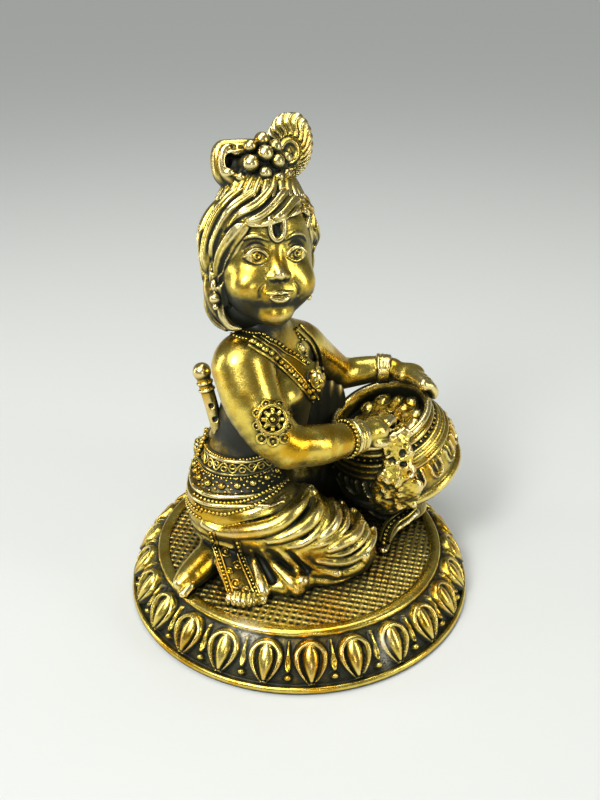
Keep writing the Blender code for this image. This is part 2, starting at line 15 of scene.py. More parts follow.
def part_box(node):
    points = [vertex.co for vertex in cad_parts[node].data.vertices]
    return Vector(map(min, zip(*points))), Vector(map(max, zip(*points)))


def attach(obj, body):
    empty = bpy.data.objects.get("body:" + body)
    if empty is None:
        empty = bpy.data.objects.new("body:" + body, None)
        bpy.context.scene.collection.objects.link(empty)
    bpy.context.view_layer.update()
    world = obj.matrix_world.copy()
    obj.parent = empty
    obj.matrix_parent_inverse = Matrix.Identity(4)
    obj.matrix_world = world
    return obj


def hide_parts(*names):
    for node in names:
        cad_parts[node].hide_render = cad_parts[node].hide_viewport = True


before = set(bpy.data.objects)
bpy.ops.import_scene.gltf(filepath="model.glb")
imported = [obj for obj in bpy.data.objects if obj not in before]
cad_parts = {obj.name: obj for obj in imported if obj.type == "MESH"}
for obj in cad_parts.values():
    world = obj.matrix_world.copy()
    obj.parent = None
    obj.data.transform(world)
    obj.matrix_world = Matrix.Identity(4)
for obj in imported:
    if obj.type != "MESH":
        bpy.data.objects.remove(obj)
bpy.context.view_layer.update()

MM = 0.001
COARSE = 1.0
RNG = np.random.default_rng(11)

# The blocks of clay that the figure is sculpted from: low corner, high corner and the grid's step.
BLOCKS = {
    "body": ((-31, -33, 13), (46, 35, 77), 0.36),
    "dress": ((-36, -36, -0.3), (40, 34, 41.5), 0.34),
    "recessed_cloth": ((-10, 8, 1), (18, 27, 45), 0.5),
    "flute": ((-31, -9, 24), (-15, 4, 60), 0.25),
    "head": ((-27, -21, 66), (9, 15, 106), 0.25),
    "hair": ((-30, -20, 62), (10, 21, 113), 0.26),
    "topknot": ((-25, -16, 96), (8, 15, 119.2), 0.25),
    "feather": ((-12, -4, 100), (9, 14, 119.7), 0.2),
    "pot": ((6.5, -8, -0.3), (50, 36, 42), 0.33),
    "butter": ((9, -8, 9), (46, 28, 42), 0.3),
}

# The base, as the solids have it.
BASE_HIGH = np.array(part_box("lotus_base")[1]) / MM
RIM_RADIUS = BASE_HIGH[0]
BASE_HEIGHT = BASE_HIGH[2]
RING_RADIUS = 41.5
RING_WIDTH = 3.4
RING_DROP = 1.8
FIELD_RECESS = 0.8
SEAT = BASE_HEIGHT - FIELD_RECESS
LIP_HEIGHT = 2.2
LIP_WIDTH = 1.6
PETAL_COUNT = 25
PETAL_RELIEF = 1.7
MESH_PITCH = 1.95
MESH_TURN = math.radians(-14)
MESH_DEPTH = 0.6

# The camera, fitted to the base's circles.
CAMERA_PLACE = np.array([0.0, -204.6, 166.9])
CAMERA_PITCH = math.radians(62.07)
CAMERA_YAW = math.radians(-0.055)
LENS = 38.25
PHOTO_SIZE = np.array([600, 800])


# Vectors and routes.


def unit(v):
    v = np.asarray(v, float)
    return v / np.linalg.norm(v)


def length(v):
    return np.sqrt((v * v).sum(-1))


def spline(stations, steps=4, closed=False):
    """A smooth line through the stations; any further numbers, such as a radius, go along."""
    points = np.asarray(stations, float)
    if closed:
        points = np.vstack([points[-1], points, points[:2]])
    else:
        points = np.vstack([2 * points[0] - points[1], points, 2 * points[-1] - points[-2]])
    t = (np.arange(steps) / steps)[:, None]
    parts = []
    for a, b, c, d in zip(points, points[1:], points[2:], points[3:]):
        square, cube = 2 * a - 5 * b + 4 * c - d, 3 * b - a - 3 * c + d
        parts.append(0.5 * (2 * b + (c - a) * t + square * t**2 + cube * t**3))
    if not closed:
        parts.append(points[-2:-1])
    return np.vstack(parts)


def evenly(route, gap):
    """Points along a route at even gaps."""
    reach = np.concatenate([[0], np.cumsum(length(np.diff(route[:, :3], axis=0)))])
    marks = np.arange(gap / 2, reach[-1], gap)
    return np.column_stack([np.interp(marks, reach, route[:, k]) for k in range(route.shape[1])])


def around(count, start=0.0):
    """Even turns of a whole circle."""
    return np.linspace(0, math.tau, count, endpoint=False) + start


def sized(points, radii):
    """Points with a radius each, as a route's stations."""
    return np.column_stack([points, np.broadcast_to(radii, len(points))])


def swell(count, edge, power):
    """Thickness along a cord, 1 in the middle; a smaller edge makes its ends thinner."""
    return np.sin(np.linspace(edge, math.pi - edge, count)) ** power


def turn_about(axis, angle):
    return np.array(Matrix.Rotation(angle, 3, Vector(axis)))


# Forms: a list of (distance, low, high) parts. Distances are in millimetres and negative inside.


def ball(centre, radii, axes=None):
    centre = np.asarray(centre, float)
    radii = np.broadcast_to(np.asarray(radii, float), 3)
    axes = np.eye(3) if axes is None else np.asarray(axes)

    def distance(points):
        q = (points - centre) @ axes
        reach = length(q / radii)
        return reach * (reach - 1) / np.maximum(length(q / radii**2), 1e-6)

    return [(distance, centre - radii.max(), centre + radii.max())]


def stick(a, b, radius_a, radius_b, flat=1.0, guide=None):
    """A tapering stick with round ends; flat squeezes it along the guide."""
    a, b = np.asarray(a, float), np.asarray(b, float)
    along = b - a
    span = max(along @ along, 1e-9)

    def distance(points):
        q = points - a
        t = np.clip(q @ along / span, 0, 1)
        gap = q - t[..., None] * along
        radius = radius_a + (radius_b - radius_a) * t
        if guide is None:
            return length(gap) - radius
        lift = gap @ guide
        wide = length(gap - lift[..., None] * guide)
        shape = np.sqrt(wide**2 + (lift / flat) ** 2)
        lift = np.abs(lift)
        return (shape - radius) * np.where(shape > 1e-6, (flat * lift + wide) / (lift + wide + 1e-6), flat)

    reach = max(radius_a, radius_b)
    return (distance, np.minimum(a, b) - reach, np.maximum(a, b) + reach)


def limb(stations, steps=4, flat=1.0, guide=None, closed=False):
    """A smooth tapering tube through stations of x, y, z and radius."""
    route = spline(stations, steps, closed)
    if closed:
        route = np.vstack([route, route[:1]])
    guide = None if guide is None else unit(guide)
    return [stick(p[:3], q[:3], p[3], q[3], flat, guide) for p, q in zip(route, route[1:])]


def cord(points, radius, steps=2, closed=False):
    return limb(sized(points, radius), steps, closed=closed)


def outline_distance(outline, r, s):
    """Signed distance to a closed outline of (radius, height) points."""
    best = np.full(r.shape, 1e6)
    inside = np.zeros(r.shape, bool)
    for (r0, s0), (r1, s1) in zip(outline, outline[1:] + outline[:1]):
        dr, ds = r1 - r0, s1 - s0
        t = np.clip(((r - r0) * dr + (s - s0) * ds) / max(dr * dr + ds * ds, 1e-9), 0, 1)
        best = np.minimum(best, (r - r0 - t * dr) ** 2 + (s - s0 - t * ds) ** 2)
        if s0 != s1:
            crosses = ((s0 <= s) != (s1 <= s)) & (r < r0 + (s - s0) * dr / ds)
            inside ^= crosses
    return np.where(inside, -1, 1) * np.sqrt(best)


def turned(centre, axes, outline, relief=None):
    """A turned body whose third axis is the lathe's; relief raises it, given radius, height and turn."""
    reach = max(r for r, _ in outline) + 2
    low, high = min(s for _, s in outline) - 2, max(s for _, s in outline) + 2
    step = 0.12
    rs = np.arange(0, reach + step, step)
    hs = np.arange(low, high + step, step)
    table = outline_distance(outline, *np.meshgrid(rs, hs, indexing="ij"))

    def distance(points):
        q = (points - centre) @ axes
        r = np.hypot(q[..., 0], q[..., 1])
        a = np.clip(r / step, 0, len(rs) - 1.001)
        b = np.clip((q[..., 2] - low) / step, 0, len(hs) - 1.001)
        i, j = a.astype(int), b.astype(int)
        a, b = a - i, b - j
        near = table[i, j] * (1 - b) + table[i, j + 1] * b
        far = table[i + 1, j] * (1 - b) + table[i + 1, j + 1] * b
        found = near * (1 - a) + far * a
        return found if relief is None else found - relief(r, q[..., 2], np.arctan2(q[..., 1], q[..., 0]))

    ball_reach = math.hypot(reach, max(-low, high))
    return [(distance, centre - ball_reach, centre + ball_reach)]


# Clay: a grid that forms are joined to and cut from.


class Clay:
    FAR = 9.0

    def __init__(self, low, high, step):
        self.step = step * COARSE
        self.low = np.array(low, float)
        self.count = np.ceil((np.array(high) - self.low) / self.step).astype(int) + 1
        self.field = np.full(self.count, self.FAR, np.float32)

    def window(self, low, high, margin):
        first = np.clip(np.floor((low - margin - self.low) / self.step).astype(int), 0, self.count)
        last = np.clip(np.ceil((high + margin - self.low) / self.step).astype(int) + 1, 0, self.count)
        return first, last

    def points(self, first, last):
        lines = [self.low[k] + self.step * np.arange(first[k], last[k]) for k in range(3)]
        return np.stack(np.meshgrid(*lines, indexing="ij"), -1).astype(np.float32)

    def spread(self, form, margin):
        """The form's own distances over the window that holds it."""
        low = np.min([part[1] for part in form], 0)
        high = np.max([part[2] for part in form], 0)
        first, last = self.window(low, high, margin)
        if (last <= first).any():
            return None, None
        whole = np.full(last - first, self.FAR, np.float32)
        for distance, part_low, part_high in form:
            a, b = self.window(part_low, part_high, margin)
            if (b <= a).any():
                continue
            where = tuple(slice(a[k] - first[k], b[k] - first[k]) for k in range(3))
            whole[where] = np.minimum(whole[where], distance(self.points(a, b)))
        return tuple(slice(first[k], last[k]) for k in range(3)), whole

    def add(self, form, blend=0.5):
        """Joins a form on, with a soft inner corner of about the blend."""
        where, new = self.spread(form, blend + 2 * self.step)
        if where is not None:
            old = self.field[where]
            share = np.clip(0.5 + 0.5 * (old - new) / blend, 0, 1)
            self.field[where] = old + (new - old) * share - blend * share * (1 - share)

    def cut(self, form, blend=0.4):
        where, new = self.spread(form, blend + 2 * self.step)
        if where is not None:
            old = self.field[where]
            share = np.clip(0.5 - 0.5 * (old + new) / blend, 0, 1)
            self.field[where] = old + (-new - old) * share + blend * share * (1 - share)

    def emboss(self, relief):
        """Raises the surface by a relief that is worked out from the points."""
        self.field -= relief(self.points(np.zeros(3, int), self.count)).astype(np.float32)

    def read(self, points):
        """The field at any points."""
        place = np.clip((points - self.low) / self.step, 0, self.count - 1.001)
        i = place.astype(int)
        f = place - i
        total = 0.0
        for dx in (0, 1):
            for dy in (0, 1):
                for dz in (0, 1):
                    weight = (
                        (f[..., 0] if dx else 1 - f[..., 0])
                        * (f[..., 1] if dy else 1 - f[..., 1])
                        * (f[..., 2] if dz else 1 - f[..., 2])
                    )
                    total = total + weight * self.field[i[..., 0] + dx, i[..., 1] + dy, i[..., 2] + dz]
        return total

    def strike(self, starts, directions, reach):
        """Where rays first meet the surface; a ray that misses ends at its nearest point."""
        steps = np.arange(0, reach, 0.25)
        points = starts[:, None] + directions[:, None] * steps[:, None]
        values = self.read(points)
        inside = ((points < self.low) | (points > self.low + self.step * (self.count - 1))).any(-1)
        values = np.where(inside, self.FAR, values)
        first = np.where((values < 0).any(1), (values < 0).argmax(1), values.argmin(1))
        rows = np.arange(len(starts))
        here, before = values[rows, first], values[rows, np.maximum(first - 1, 0)]
        share = np.where(here < 0, np.clip(here / np.minimum(here - before, -1e-6), 0, 1), 0)
        return starts + directions * (steps[first] - 0.25 * share)[:, None]

    def skin(self):
        """Vertices, quads and each vertex's openness: above 0 on ridges and below 0 in hollows."""
        inside = self.field < 0
        n = self.count - 1
        corners = [(i, j, k) for i in (0, 1) for j in (0, 1) for k in (0, 1)]
        filled = sum(inside[i : i + n[0], j : j + n[1], k : k + n[2]].astype(np.int8) for i, j, k in corners)
        mixed = (filled > 0) & (filled < 8)
        cells = np.argwhere(mixed)
        index = np.full(n, -1, np.int64)
        index[mixed] = np.arange(len(cells))
        total = np.zeros((len(cells), 3))
        hits = np.zeros(len(cells))
        for a in corners:
            for axis in range(3):
                if a[axis]:
                    continue
                b = np.array(a)
                b[axis] = 1
                low = self.field[tuple((cells + a).T)]
                high = self.field[tuple((cells + b).T)]
                cross = (low < 0) != (high < 0)
                t = np.where(cross, low / np.where(low == high, 1, low - high), 0)
                point = np.array(a) + t[:, None] * (b - a)
                total += point * cross[:, None]
                hits += cross
        vertices = self.low + (cells + total / hits[:, None]) * self.step
        quads = []
        for axis in range(3):
            u, v = [k for k in range(3) if k != axis]
            size = np.array(inside.shape)
            one = [slice(1, size[k] - 1) for k in range(3)]
            two = list(one)
            one[axis], two[axis] = slice(0, size[axis] - 1), slice(1, size[axis])
            change = inside[tuple(one)] != inside[tuple(two)]
            at = np.argwhere(change)
            at[:, u] += 1
            at[:, v] += 1
            ring = []
            for du, dv in ((0, 0), (1, 0), (1, 1), (0, 1)):
                cell = at.copy()
                cell[:, u] -= du
                cell[:, v] -= dv
                ring.append(index[tuple(cell.T)])
            quad = np.stack(ring, 1)
            flip = inside[tuple(at.T)] == (axis != 1)
            quad[~flip] = quad[~flip][:, ::-1]
            quads.append(quad)
        return vertices, np.vstack(quads), self.openness(vertices)

    def openness(self, vertices, size=1.1):
        """How much of a small box round each vertex lies outside the surface, against a flat one."""
        reach = max(1, round(size / self.step))
        blurred = np.clip(self.field, -1.6, 1.6)
        for axis in range(3):
            for _ in range(2):
                margins = [(reach + 1, reach) if k == axis else (0, 0) for k in range(3)]
                padded = np.cumsum(np.pad(blurred, margins, "edge"), axis, dtype=np.float64)
                upper = np.take(padded, range(2 * reach + 1, padded.shape[axis]), axis)
                lower = np.take(padded, range(0, padded.shape[axis] - 2 * reach - 1), axis)
                blurred = ((upper - lower) / (2 * reach + 1)).astype(np.float32)
        keep = self.field
        self.field = blurred
        found = self.read(vertices)
        self.field = keep
        return found / size


# Rays of the camera, in the figure's own millimetres.

FOCAL = LENS / 36 * PHOTO_SIZE[1]
CAMERA_AXES = np.array(Matrix.Rotation(CAMERA_YAW, 3, "Z") @ Matrix.Rotation(CAMERA_PITCH, 3, "X"))
TO_SEAT = np.array([0.0, 0.0, SEAT])


def cast(clay, pixels, sink=0.0):
    """Where the clay shows at the photo's pixels; sink goes on into it along the view."""
    across, down = ((np.asarray(pixels, float) - PHOTO_SIZE / 2) / FOCAL).T
    rays = across[:, None] * CAMERA_AXES[:, 0] - down[:, None] * CAMERA_AXES[:, 1] - CAMERA_AXES[:, 2]
    rays /= length(rays)[:, None]
    starts = CAMERA_PLACE - TO_SEAT + rays * 150
    return clay.strike(starts, rays, 190) + rays * sink


def on_level(pixels):
    """Places of pixels at given heights over the field; a row is across, down and height."""
    pixels = np.asarray(pixels, float)
    across, down = ((pixels[:, :2] - PHOTO_SIZE / 2) / FOCAL).T
    rays = across[:, None] * CAMERA_AXES[:, 0] - down[:, None] * CAMERA_AXES[:, 1] - CAMERA_AXES[:, 2]
    start = CAMERA_PLACE - TO_SEAT
    return start + rays * ((pixels[:, 2] - start[2]) / rays[:, 2])[:, None]


def press(clay, points, toward, sink=0.0, reach=40):
    """Where points land on the clay when they are pushed one way, from well outside it."""
    points = np.asarray(points, float)
    toward = np.broadcast_to(toward, points.shape) / length(np.broadcast_to(toward, points.shape))[:, None]
    return clay.strike(points - toward * reach, toward, 2 * reach) + toward * sink


def dense(pixels, gap=2.0):
    """A smooth pixel route with a point every gap pixels."""
    return evenly(spline(pixels, 6), gap)


# Meshes and their materials.


# The share of its triangles that each dense piece keeps; those of its flattest parts go first.
KEPT = {
    "base_petals": 0.66,
    "base_field": 0.52,
    "body": 0.50,
    "dress": 0.50,
    "recessed_cloth": 0.40,
    "flute": 0.60,
    "head": 0.55,
    "hair": 0.66,
    "topknot": 0.66,
    "feather": 0.80,
    "pot": 0.55,
    "butter": 0.66,
}
FIGURE = ("krishna_figure", "figure_gold")
BASE = ("lotus_base", "base_gold")
BEAD_OPENNESS = 0.12


def add_piece(name, part, material, vertices, faces, values):
    """A smooth mesh in the shared frame; part is its node and slot, where the slot is not used, and values
    are its points' attributes.
    """
    node, slot = part
    mesh = bpy.data.meshes.new(name)
    corners = faces.shape[1]
    mesh.vertices.add(len(vertices))
    mesh.vertices.foreach_set("co", ((vertices + TO_SEAT) * MM).astype(np.float32).ravel())
    mesh.loops.add(faces.size)
    mesh.loops.foreach_set("vertex_index", faces.astype(np.int32).ravel())
    mesh.polygons.add(len(faces))
    mesh.polygons.foreach_set("loop_start", np.arange(0, faces.size, corners, dtype=np.int32))
    mesh.polygons.foreach_set("use_smooth", np.ones(len(faces), bool))
    mesh.update(calc_edges=True)
    mesh.materials.append(material)
    for key, value in values.items():
        mesh.attributes.new(key, "FLOAT", "POINT").data.foreach_set("value", value.astype(np.float32))
    piece = bpy.data.objects.new(name, mesh)
    bpy.context.scene.collection.objects.link(piece)
    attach(piece, "root")
    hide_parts(node)
    if name in KEPT:
        piece.modifiers.new("lighten", "DECIMATE").ratio = KEPT[name]


def painted_shade_at(vertices, patches):
    """How much painted shade to lay on, from soft patches given as a centre, its three reaches and a
    strength.
    """
    total = np.zeros(len(vertices))
    for centre, reach, strength in patches:
        gap = (vertices - np.array(centre)) / np.array(reach)
        total = np.maximum(total, strength * np.exp(-((gap * gap).sum(-1) ** 2)))
    return total


def add_clay(name, clay, material, patches=()):
    vertices, quads, openness = clay.skin()
    # Each vertex also carries the painted shade of the given patches.
    values = {"openness": openness, "painted_shade": painted_shade_at(vertices, patches)}
    add_piece(name, FIGURE, material, vertices, quads, values)


def icosphere(detail=2):
    form = bmesh.new()
    bmesh.ops.create_icosphere(form, subdivisions=detail, radius=1)
    points = np.array([v.co[:] for v in form.verts])
    faces = np.array([[v.index for v in f.verts] for f in form.faces])
    form.free()
    return points, faces


def add_beads(name, groups, material):
    """Small cast beads, as groups of centres with a radius."""
    points, faces = icosphere(2)
    all_points, all_faces, count = [], [], 0
    for centres, radius in groups:
        for centre in centres:
            all_points.append(centre + points * radius)
            all_faces.append(faces + count)
            count += len(points)
    values = {"openness": np.full(count, BEAD_OPENNESS)}
    add_piece(name, FIGURE, material, np.vstack(all_points), np.vstack(all_faces), values)


def tube_rings(points, radius, sides, closed):
    """Rings of points round a route; radius may change along it."""
    points = np.asarray(points, float)
    radius = np.broadcast_to(radius, len(points))
    if closed:
        along = np.roll(points, -1, 0) - np.roll(points, 1, 0)
    else:
        along = np.gradient(points, axis=0)
    along /= np.maximum(length(along), 1e-9)[:, None]
    middle = points.mean(0)
    up = points - middle
    up -= (up * along).sum(-1)[:, None] * along
    weak = length(up) < 1e-3
    up[weak] = np.cross(along[weak], (0.3, 0.5, 0.8))
    up /= length(up)[:, None]
    for i in range(1, len(up)):
        if up[i] @ up[i - 1] < 0:
            up[i] = -up[i]
    across = np.cross(along, up)
    turns = around(sides)
    ring = up[:, None] * np.cos(turns)[:, None] + across[:, None] * np.sin(turns)[:, None]
    return points[:, None] + ring * radius[:, None, None]


def add_cords(name, cords, material, sides=7):
    """Fine cast cords, as (points, radius, closed) in one mesh."""
    all_points, all_faces, count = [], [], 0
    for points, radius, closed in cords:
        rings = tube_rings(points, radius, sides, closed)
        n = len(rings)
        index = np.arange(n * sides).reshape(n, sides) + count
        first, second = (index, np.roll(index, -1, 0)) if closed else (index[:-1], index[1:])
        faces = np.stack([first, second, np.roll(second, -1, 1), np.roll(first, -1, 1)], -1).reshape(-1, 4)
        all_points.append(rings.reshape(-1, 3))
        all_faces.append(faces)
        count += n * sides
    values = {"openness": np.full(count, BEAD_OPENNESS)}
    add_piece(name, FIGURE, material, np.vstack(all_points), np.vstack(all_faces), values)


class Nodes:
    """Builds a material's node tree in short calls."""

    def __init__(self, name):
        self.material = bpy.data.materials.new(name)
        self.material.use_nodes = True
        self.tree = self.material.node_tree
        self.shader = self.tree.nodes["Principled BSDF"]

    def feed(self, socket, value):
        if isinstance(value, bpy.types.NodeSocket):
            self.tree.links.new(value, socket)
        elif isinstance(value, (tuple, list)) and len(socket.default_value) == 4 and len(value) == 3:
            socket.default_value = (*value, 1)
        else:
            socket.default_value = value

    def node(self, kind, inputs=None, **settings):
        made = self.tree.nodes.new(kind)
        for key, value in settings.items():
            setattr(made, key, value)
        for key, value in (inputs or {}).items():
            self.feed(made.inputs[key], value)
        return made

    def math(self, operation, a, b=0.0, clamp=False):
        return self.node("ShaderNodeMath", {0: a, 1: b}, operation=operation, use_clamp=clamp).outputs[0]

    def plus(self, a, b):
        return self.math("ADD", a, b)

    def minus(self, a, b):
        return self.math("SUBTRACT", a, b)

    def times(self, a, b):
        return self.math("MULTIPLY", a, b)

    def ramp(self, value, low, high, start=0.0, end=1.0):
        keys = {"Value": value, "From Min": low, "From Max": high, "To Min": start, "To Max": end}
        return self.node("ShaderNodeMapRange", keys, interpolation_type="SMOOTHSTEP").outputs[0]

    def noise(self, scale, detail=3.0, rough=0.55, where=None):
        keys = {"Scale": scale, "Detail": detail, "Roughness": rough}
        if where is not None:
            keys["Vector"] = where
        return self.node("ShaderNodeTexNoise", keys).outputs["Fac"]

    def mix(self, share, a, b):
        made = self.node("ShaderNodeMix", {"Factor": share}, data_type="RGBA")
        colour_a, colour_b = [s for s in made.inputs if s.type == "RGBA"]
        self.feed(colour_a, a)
        self.feed(colour_b, b)
        return [s for s in made.outputs if s.type == "RGBA"][0]


# Gold.

BRIGHT_GOLD = (0.86, 0.65, 0.12)
DEEP_GOLD = (0.68, 0.38, 0.02)
PALE_GOLD = (0.94, 0.82, 0.44)
OLIVE_SHADE = (0.17, 0.14, 0.022)
DARK_PATINA_AND_SHADE = (0.008, 0.010, 0.003)
RESIDUE = (0.62, 0.60, 0.50)


def antique_gold_and_shade(name, patina_and_shade=0.0, rough=0.0, bare=False):
    """Worn gold paint. Patina darkens its hollows; painted shade darkens downward faces, the space between
    parts and given patches, with a broader olive painted shade; paler gold on the ridges is rubbed wear and a
    painted highlight. A setting above 0 spreads the dark and the olive.
    """
    n = Nodes(name)
    where = n.node("ShaderNodeTexCoord").outputs["Object"]
    openness = n.node("ShaderNodeAttribute", attribute_name="openness").outputs["Fac"]
    hollow = n.node("ShaderNodeAmbientOcclusion", {"Distance": 0.0022}, samples=6).outputs["AO"]
    # Painted shade: a broad occlusion darkens the gold between parts, such as between the arms and the body
    # and under the pot.
    deep = n.node("ShaderNodeAmbientOcclusion", {"Distance": 0.020}, samples=8).outputs["AO"]
    normal = n.node("ShaderNodeNewGeometry").outputs["Normal"]
    facing = n.node("ShaderNodeSeparateXYZ", {0: normal}).outputs["Z"]
    # Painted shade: faces turned downwards get darker, as if shaded from the lights above.
    under = n.ramp(facing, 0.40, -0.50)
    wide = n.noise(75, 3, 0.6, where)
    fine = n.noise(640, 4, 0.65, where)
    specks = n.noise(1900, 2, 0.6, where)
    # Clear of patina and painted shade: openness and small hollows stand for the patina; broad occlusion,
    # downward facing and the patches are painted shade.
    clear_of_patina_and_shade = n.plus(n.times(openness, 1.8), n.times(hollow, 0.7))
    clear_of_patina_and_shade = n.plus(clear_of_patina_and_shade, n.times(deep, 1.3))
    clear_of_patina_and_shade = n.minus(clear_of_patina_and_shade, n.times(under, 0.95))
    # Painted shade in patches, read from the points' attribute.
    painted_shade = n.node("ShaderNodeAttribute", attribute_name="painted_shade").outputs["Fac"]
    clear_of_patina_and_shade = n.minus(clear_of_patina_and_shade, painted_shade)
    clear_of_patina_and_shade = n.plus(clear_of_patina_and_shade, n.times(n.minus(fine, 0.5), 0.8))
    clear_of_patina_and_shade = n.plus(clear_of_patina_and_shade, n.times(n.minus(wide, 0.5), 0.6))
    dark = n.ramp(clear_of_patina_and_shade, 0.86 + patina_and_shade, 1.36 + patina_and_shade, 1.0, 0.0)
    # Painted shade: a broader olive darkening over the less open and downward surfaces.
    olive_shade = n.ramp(clear_of_patina_and_shade, 1.20 + patina_and_shade, 1.86 + patina_and_shade, 1.0, 0.0)
    spots = n.ramp(specks, 0.68, 0.76)
    dark = n.math("MAXIMUM", dark, n.times(spots, 0.4))
    # Paler gold on the ridges, as rubbed wear and as a painted highlight.
    rubbed_and_highlight = n.ramp(n.plus(openness, n.times(n.minus(fine, 0.5), 0.3)), 0.10, 0.36)
    tone = n.mix(n.ramp(wide, 0.46, 0.64), BRIGHT_GOLD, DEEP_GOLD)
    tone = n.mix(n.times(rubbed_and_highlight, 0.7), tone, PALE_GOLD)
    tone = n.mix(n.times(olive_shade, 0.72), tone, OLIVE_SHADE)
    # Real patina and painted shade share this dark colour.
    colour = n.mix(dark, tone, DARK_PATINA_AND_SHADE)
    metal = n.minus(1.0, n.times(dark, 0.75))
    polish = n.plus(0.17 + rough, n.times(fine, 0.18))
    roughness = n.math("ADD", polish, n.times(dark, 0.25), clamp=True)
    if bare:
        shown = n.node("ShaderNodeAttribute", attribute_name="bare").outputs["Fac"]
        shown = n.times(shown, n.ramp(specks, 0.36, 0.5))
        colour = n.mix(shown, colour, RESIDUE)
        metal = n.times(metal, n.minus(1.0, shown))
        roughness = n.math("MAXIMUM", roughness, n.times(shown, 0.7))
    bump = n.node("ShaderNodeBump", {"Strength": 0.45, "Distance": 0.00015, "Height": fine})
    n.feed(n.shader.inputs["Base Color"], colour)
    n.feed(n.shader.inputs["Metallic"], metal)
    n.feed(n.shader.inputs["Roughness"], roughness)
    n.feed(n.shader.inputs["Normal"], bump.outputs["Normal"])
    return n.material


# The settings spread the dark and the olive: patina together with painted shade, and on the head, hair and
# feather also painted dark reflection.
FIGURE_GOLD = antique_gold_and_shade("figure_antique_gold")
CLOTH_GOLD = antique_gold_and_shade("cloth_antique_gold", patina_and_shade=0.12)
HEAD_GOLD = antique_gold_and_shade("head_antique_gold", patina_and_shade=0.26)
HAIR_GOLD = antique_gold_and_shade("hair_antique_gold", patina_and_shade=0.20)
FEATHER_GOLD = antique_gold_and_shade("feather_antique_gold", patina_and_shade=0.22)
BASE_GOLD = antique_gold_and_shade("base_antique_gold", patina_and_shade=-0.04, bare=True)
FIELD_GOLD = antique_gold_and_shade("field_antique_gold", patina_and_shade=-0.15, rough=0.06)
# Painted shade: the recessed cloth's gold is darkened almost to black, as the shade between the body and the
# pot.
RECESSED_CLOTH_SHADE = antique_gold_and_shade("recessed_cloth_shaded_dark", patina_and_shade=0.9, rough=0.2)


# The body.

TRUNK = [
    ((-17.5, -0.5, 18.5), (14.0, 16.0, 12.5), 0),
    ((-14.6, -1.0, 31.5), (11.2, 12.6, 11.5), 10),
    ((-9.5, -1.2, 43.0), (12.0, 13.0, 11.0), 30),
    ((-7.2, -1.4, 51.0), (11.2, 13.2, 11.0), 36),
    ((-7.4, -1.0, 58.5), (7.6, 11.6, 6.0), 36),
]
NECK = [(-9.0, -1.0, 60.0, 6.2), (-9.0, -2.0, 68.0, 5.6), (-8.6, -3.5, 76.0, 5.4)]
SHOULDERS = [(-14.0, -10.0, 63.5, 6.0), (-8.5, -2.0, 65.0, 6.2), (-0.5, 8.5, 60.0, 5.4)]
NEAR_ELBOW = (-3.0, -20.0, 43.1, 5.6)
NEAR_UPPER_ARM = [(-14.2, -12.8, 62.0, 7.8), (-11.5, -17.0, 54.5, 7.5), (-7.0, -19.8, 47.2, 6.5), NEAR_ELBOW]
NEAR_FOREARM = [NEAR_ELBOW, (5.0, -16.8, 41.6, 5.3), (12.0, -11.2, 40.0, 4.5), (17.0, -7.0, 38.8, 3.6)]
FAR_UPPER_ARM = [
    (1.5, 11.5, 57.0, 5.8), (5.5, 18.0, 51.0, 5.0), (10.0, 22.5, 45.1, 4.6), (13.0, 24.5, 42.2, 4.3)
]
FAR_FOREARM = [
    (13.0, 24.5, 41.6, 4.5), (19.0, 26.4, 41.8, 4.3), (24.0, 26.6, 42.4, 3.8), (28.0, 26.0, 42.5, 3.4)
]
CHEST_FACING = unit((0.81, -0.59, 0))


def ring_about(route, place, grow, count=28):
    """A circle round a limb's route, proud of it by grow."""
    centre, radius = route[place][:3], route[place][3] + grow
    along = unit(route[place + 1][:3] - route[place - 1][:3])
    across = unit(np.cross(along, (0.1, 0.2, 1)))
    up = np.cross(across, along)
    turns = around(count)[:, None]
    return centre + radius * (across * np.cos(turns) + up * np.sin(turns))


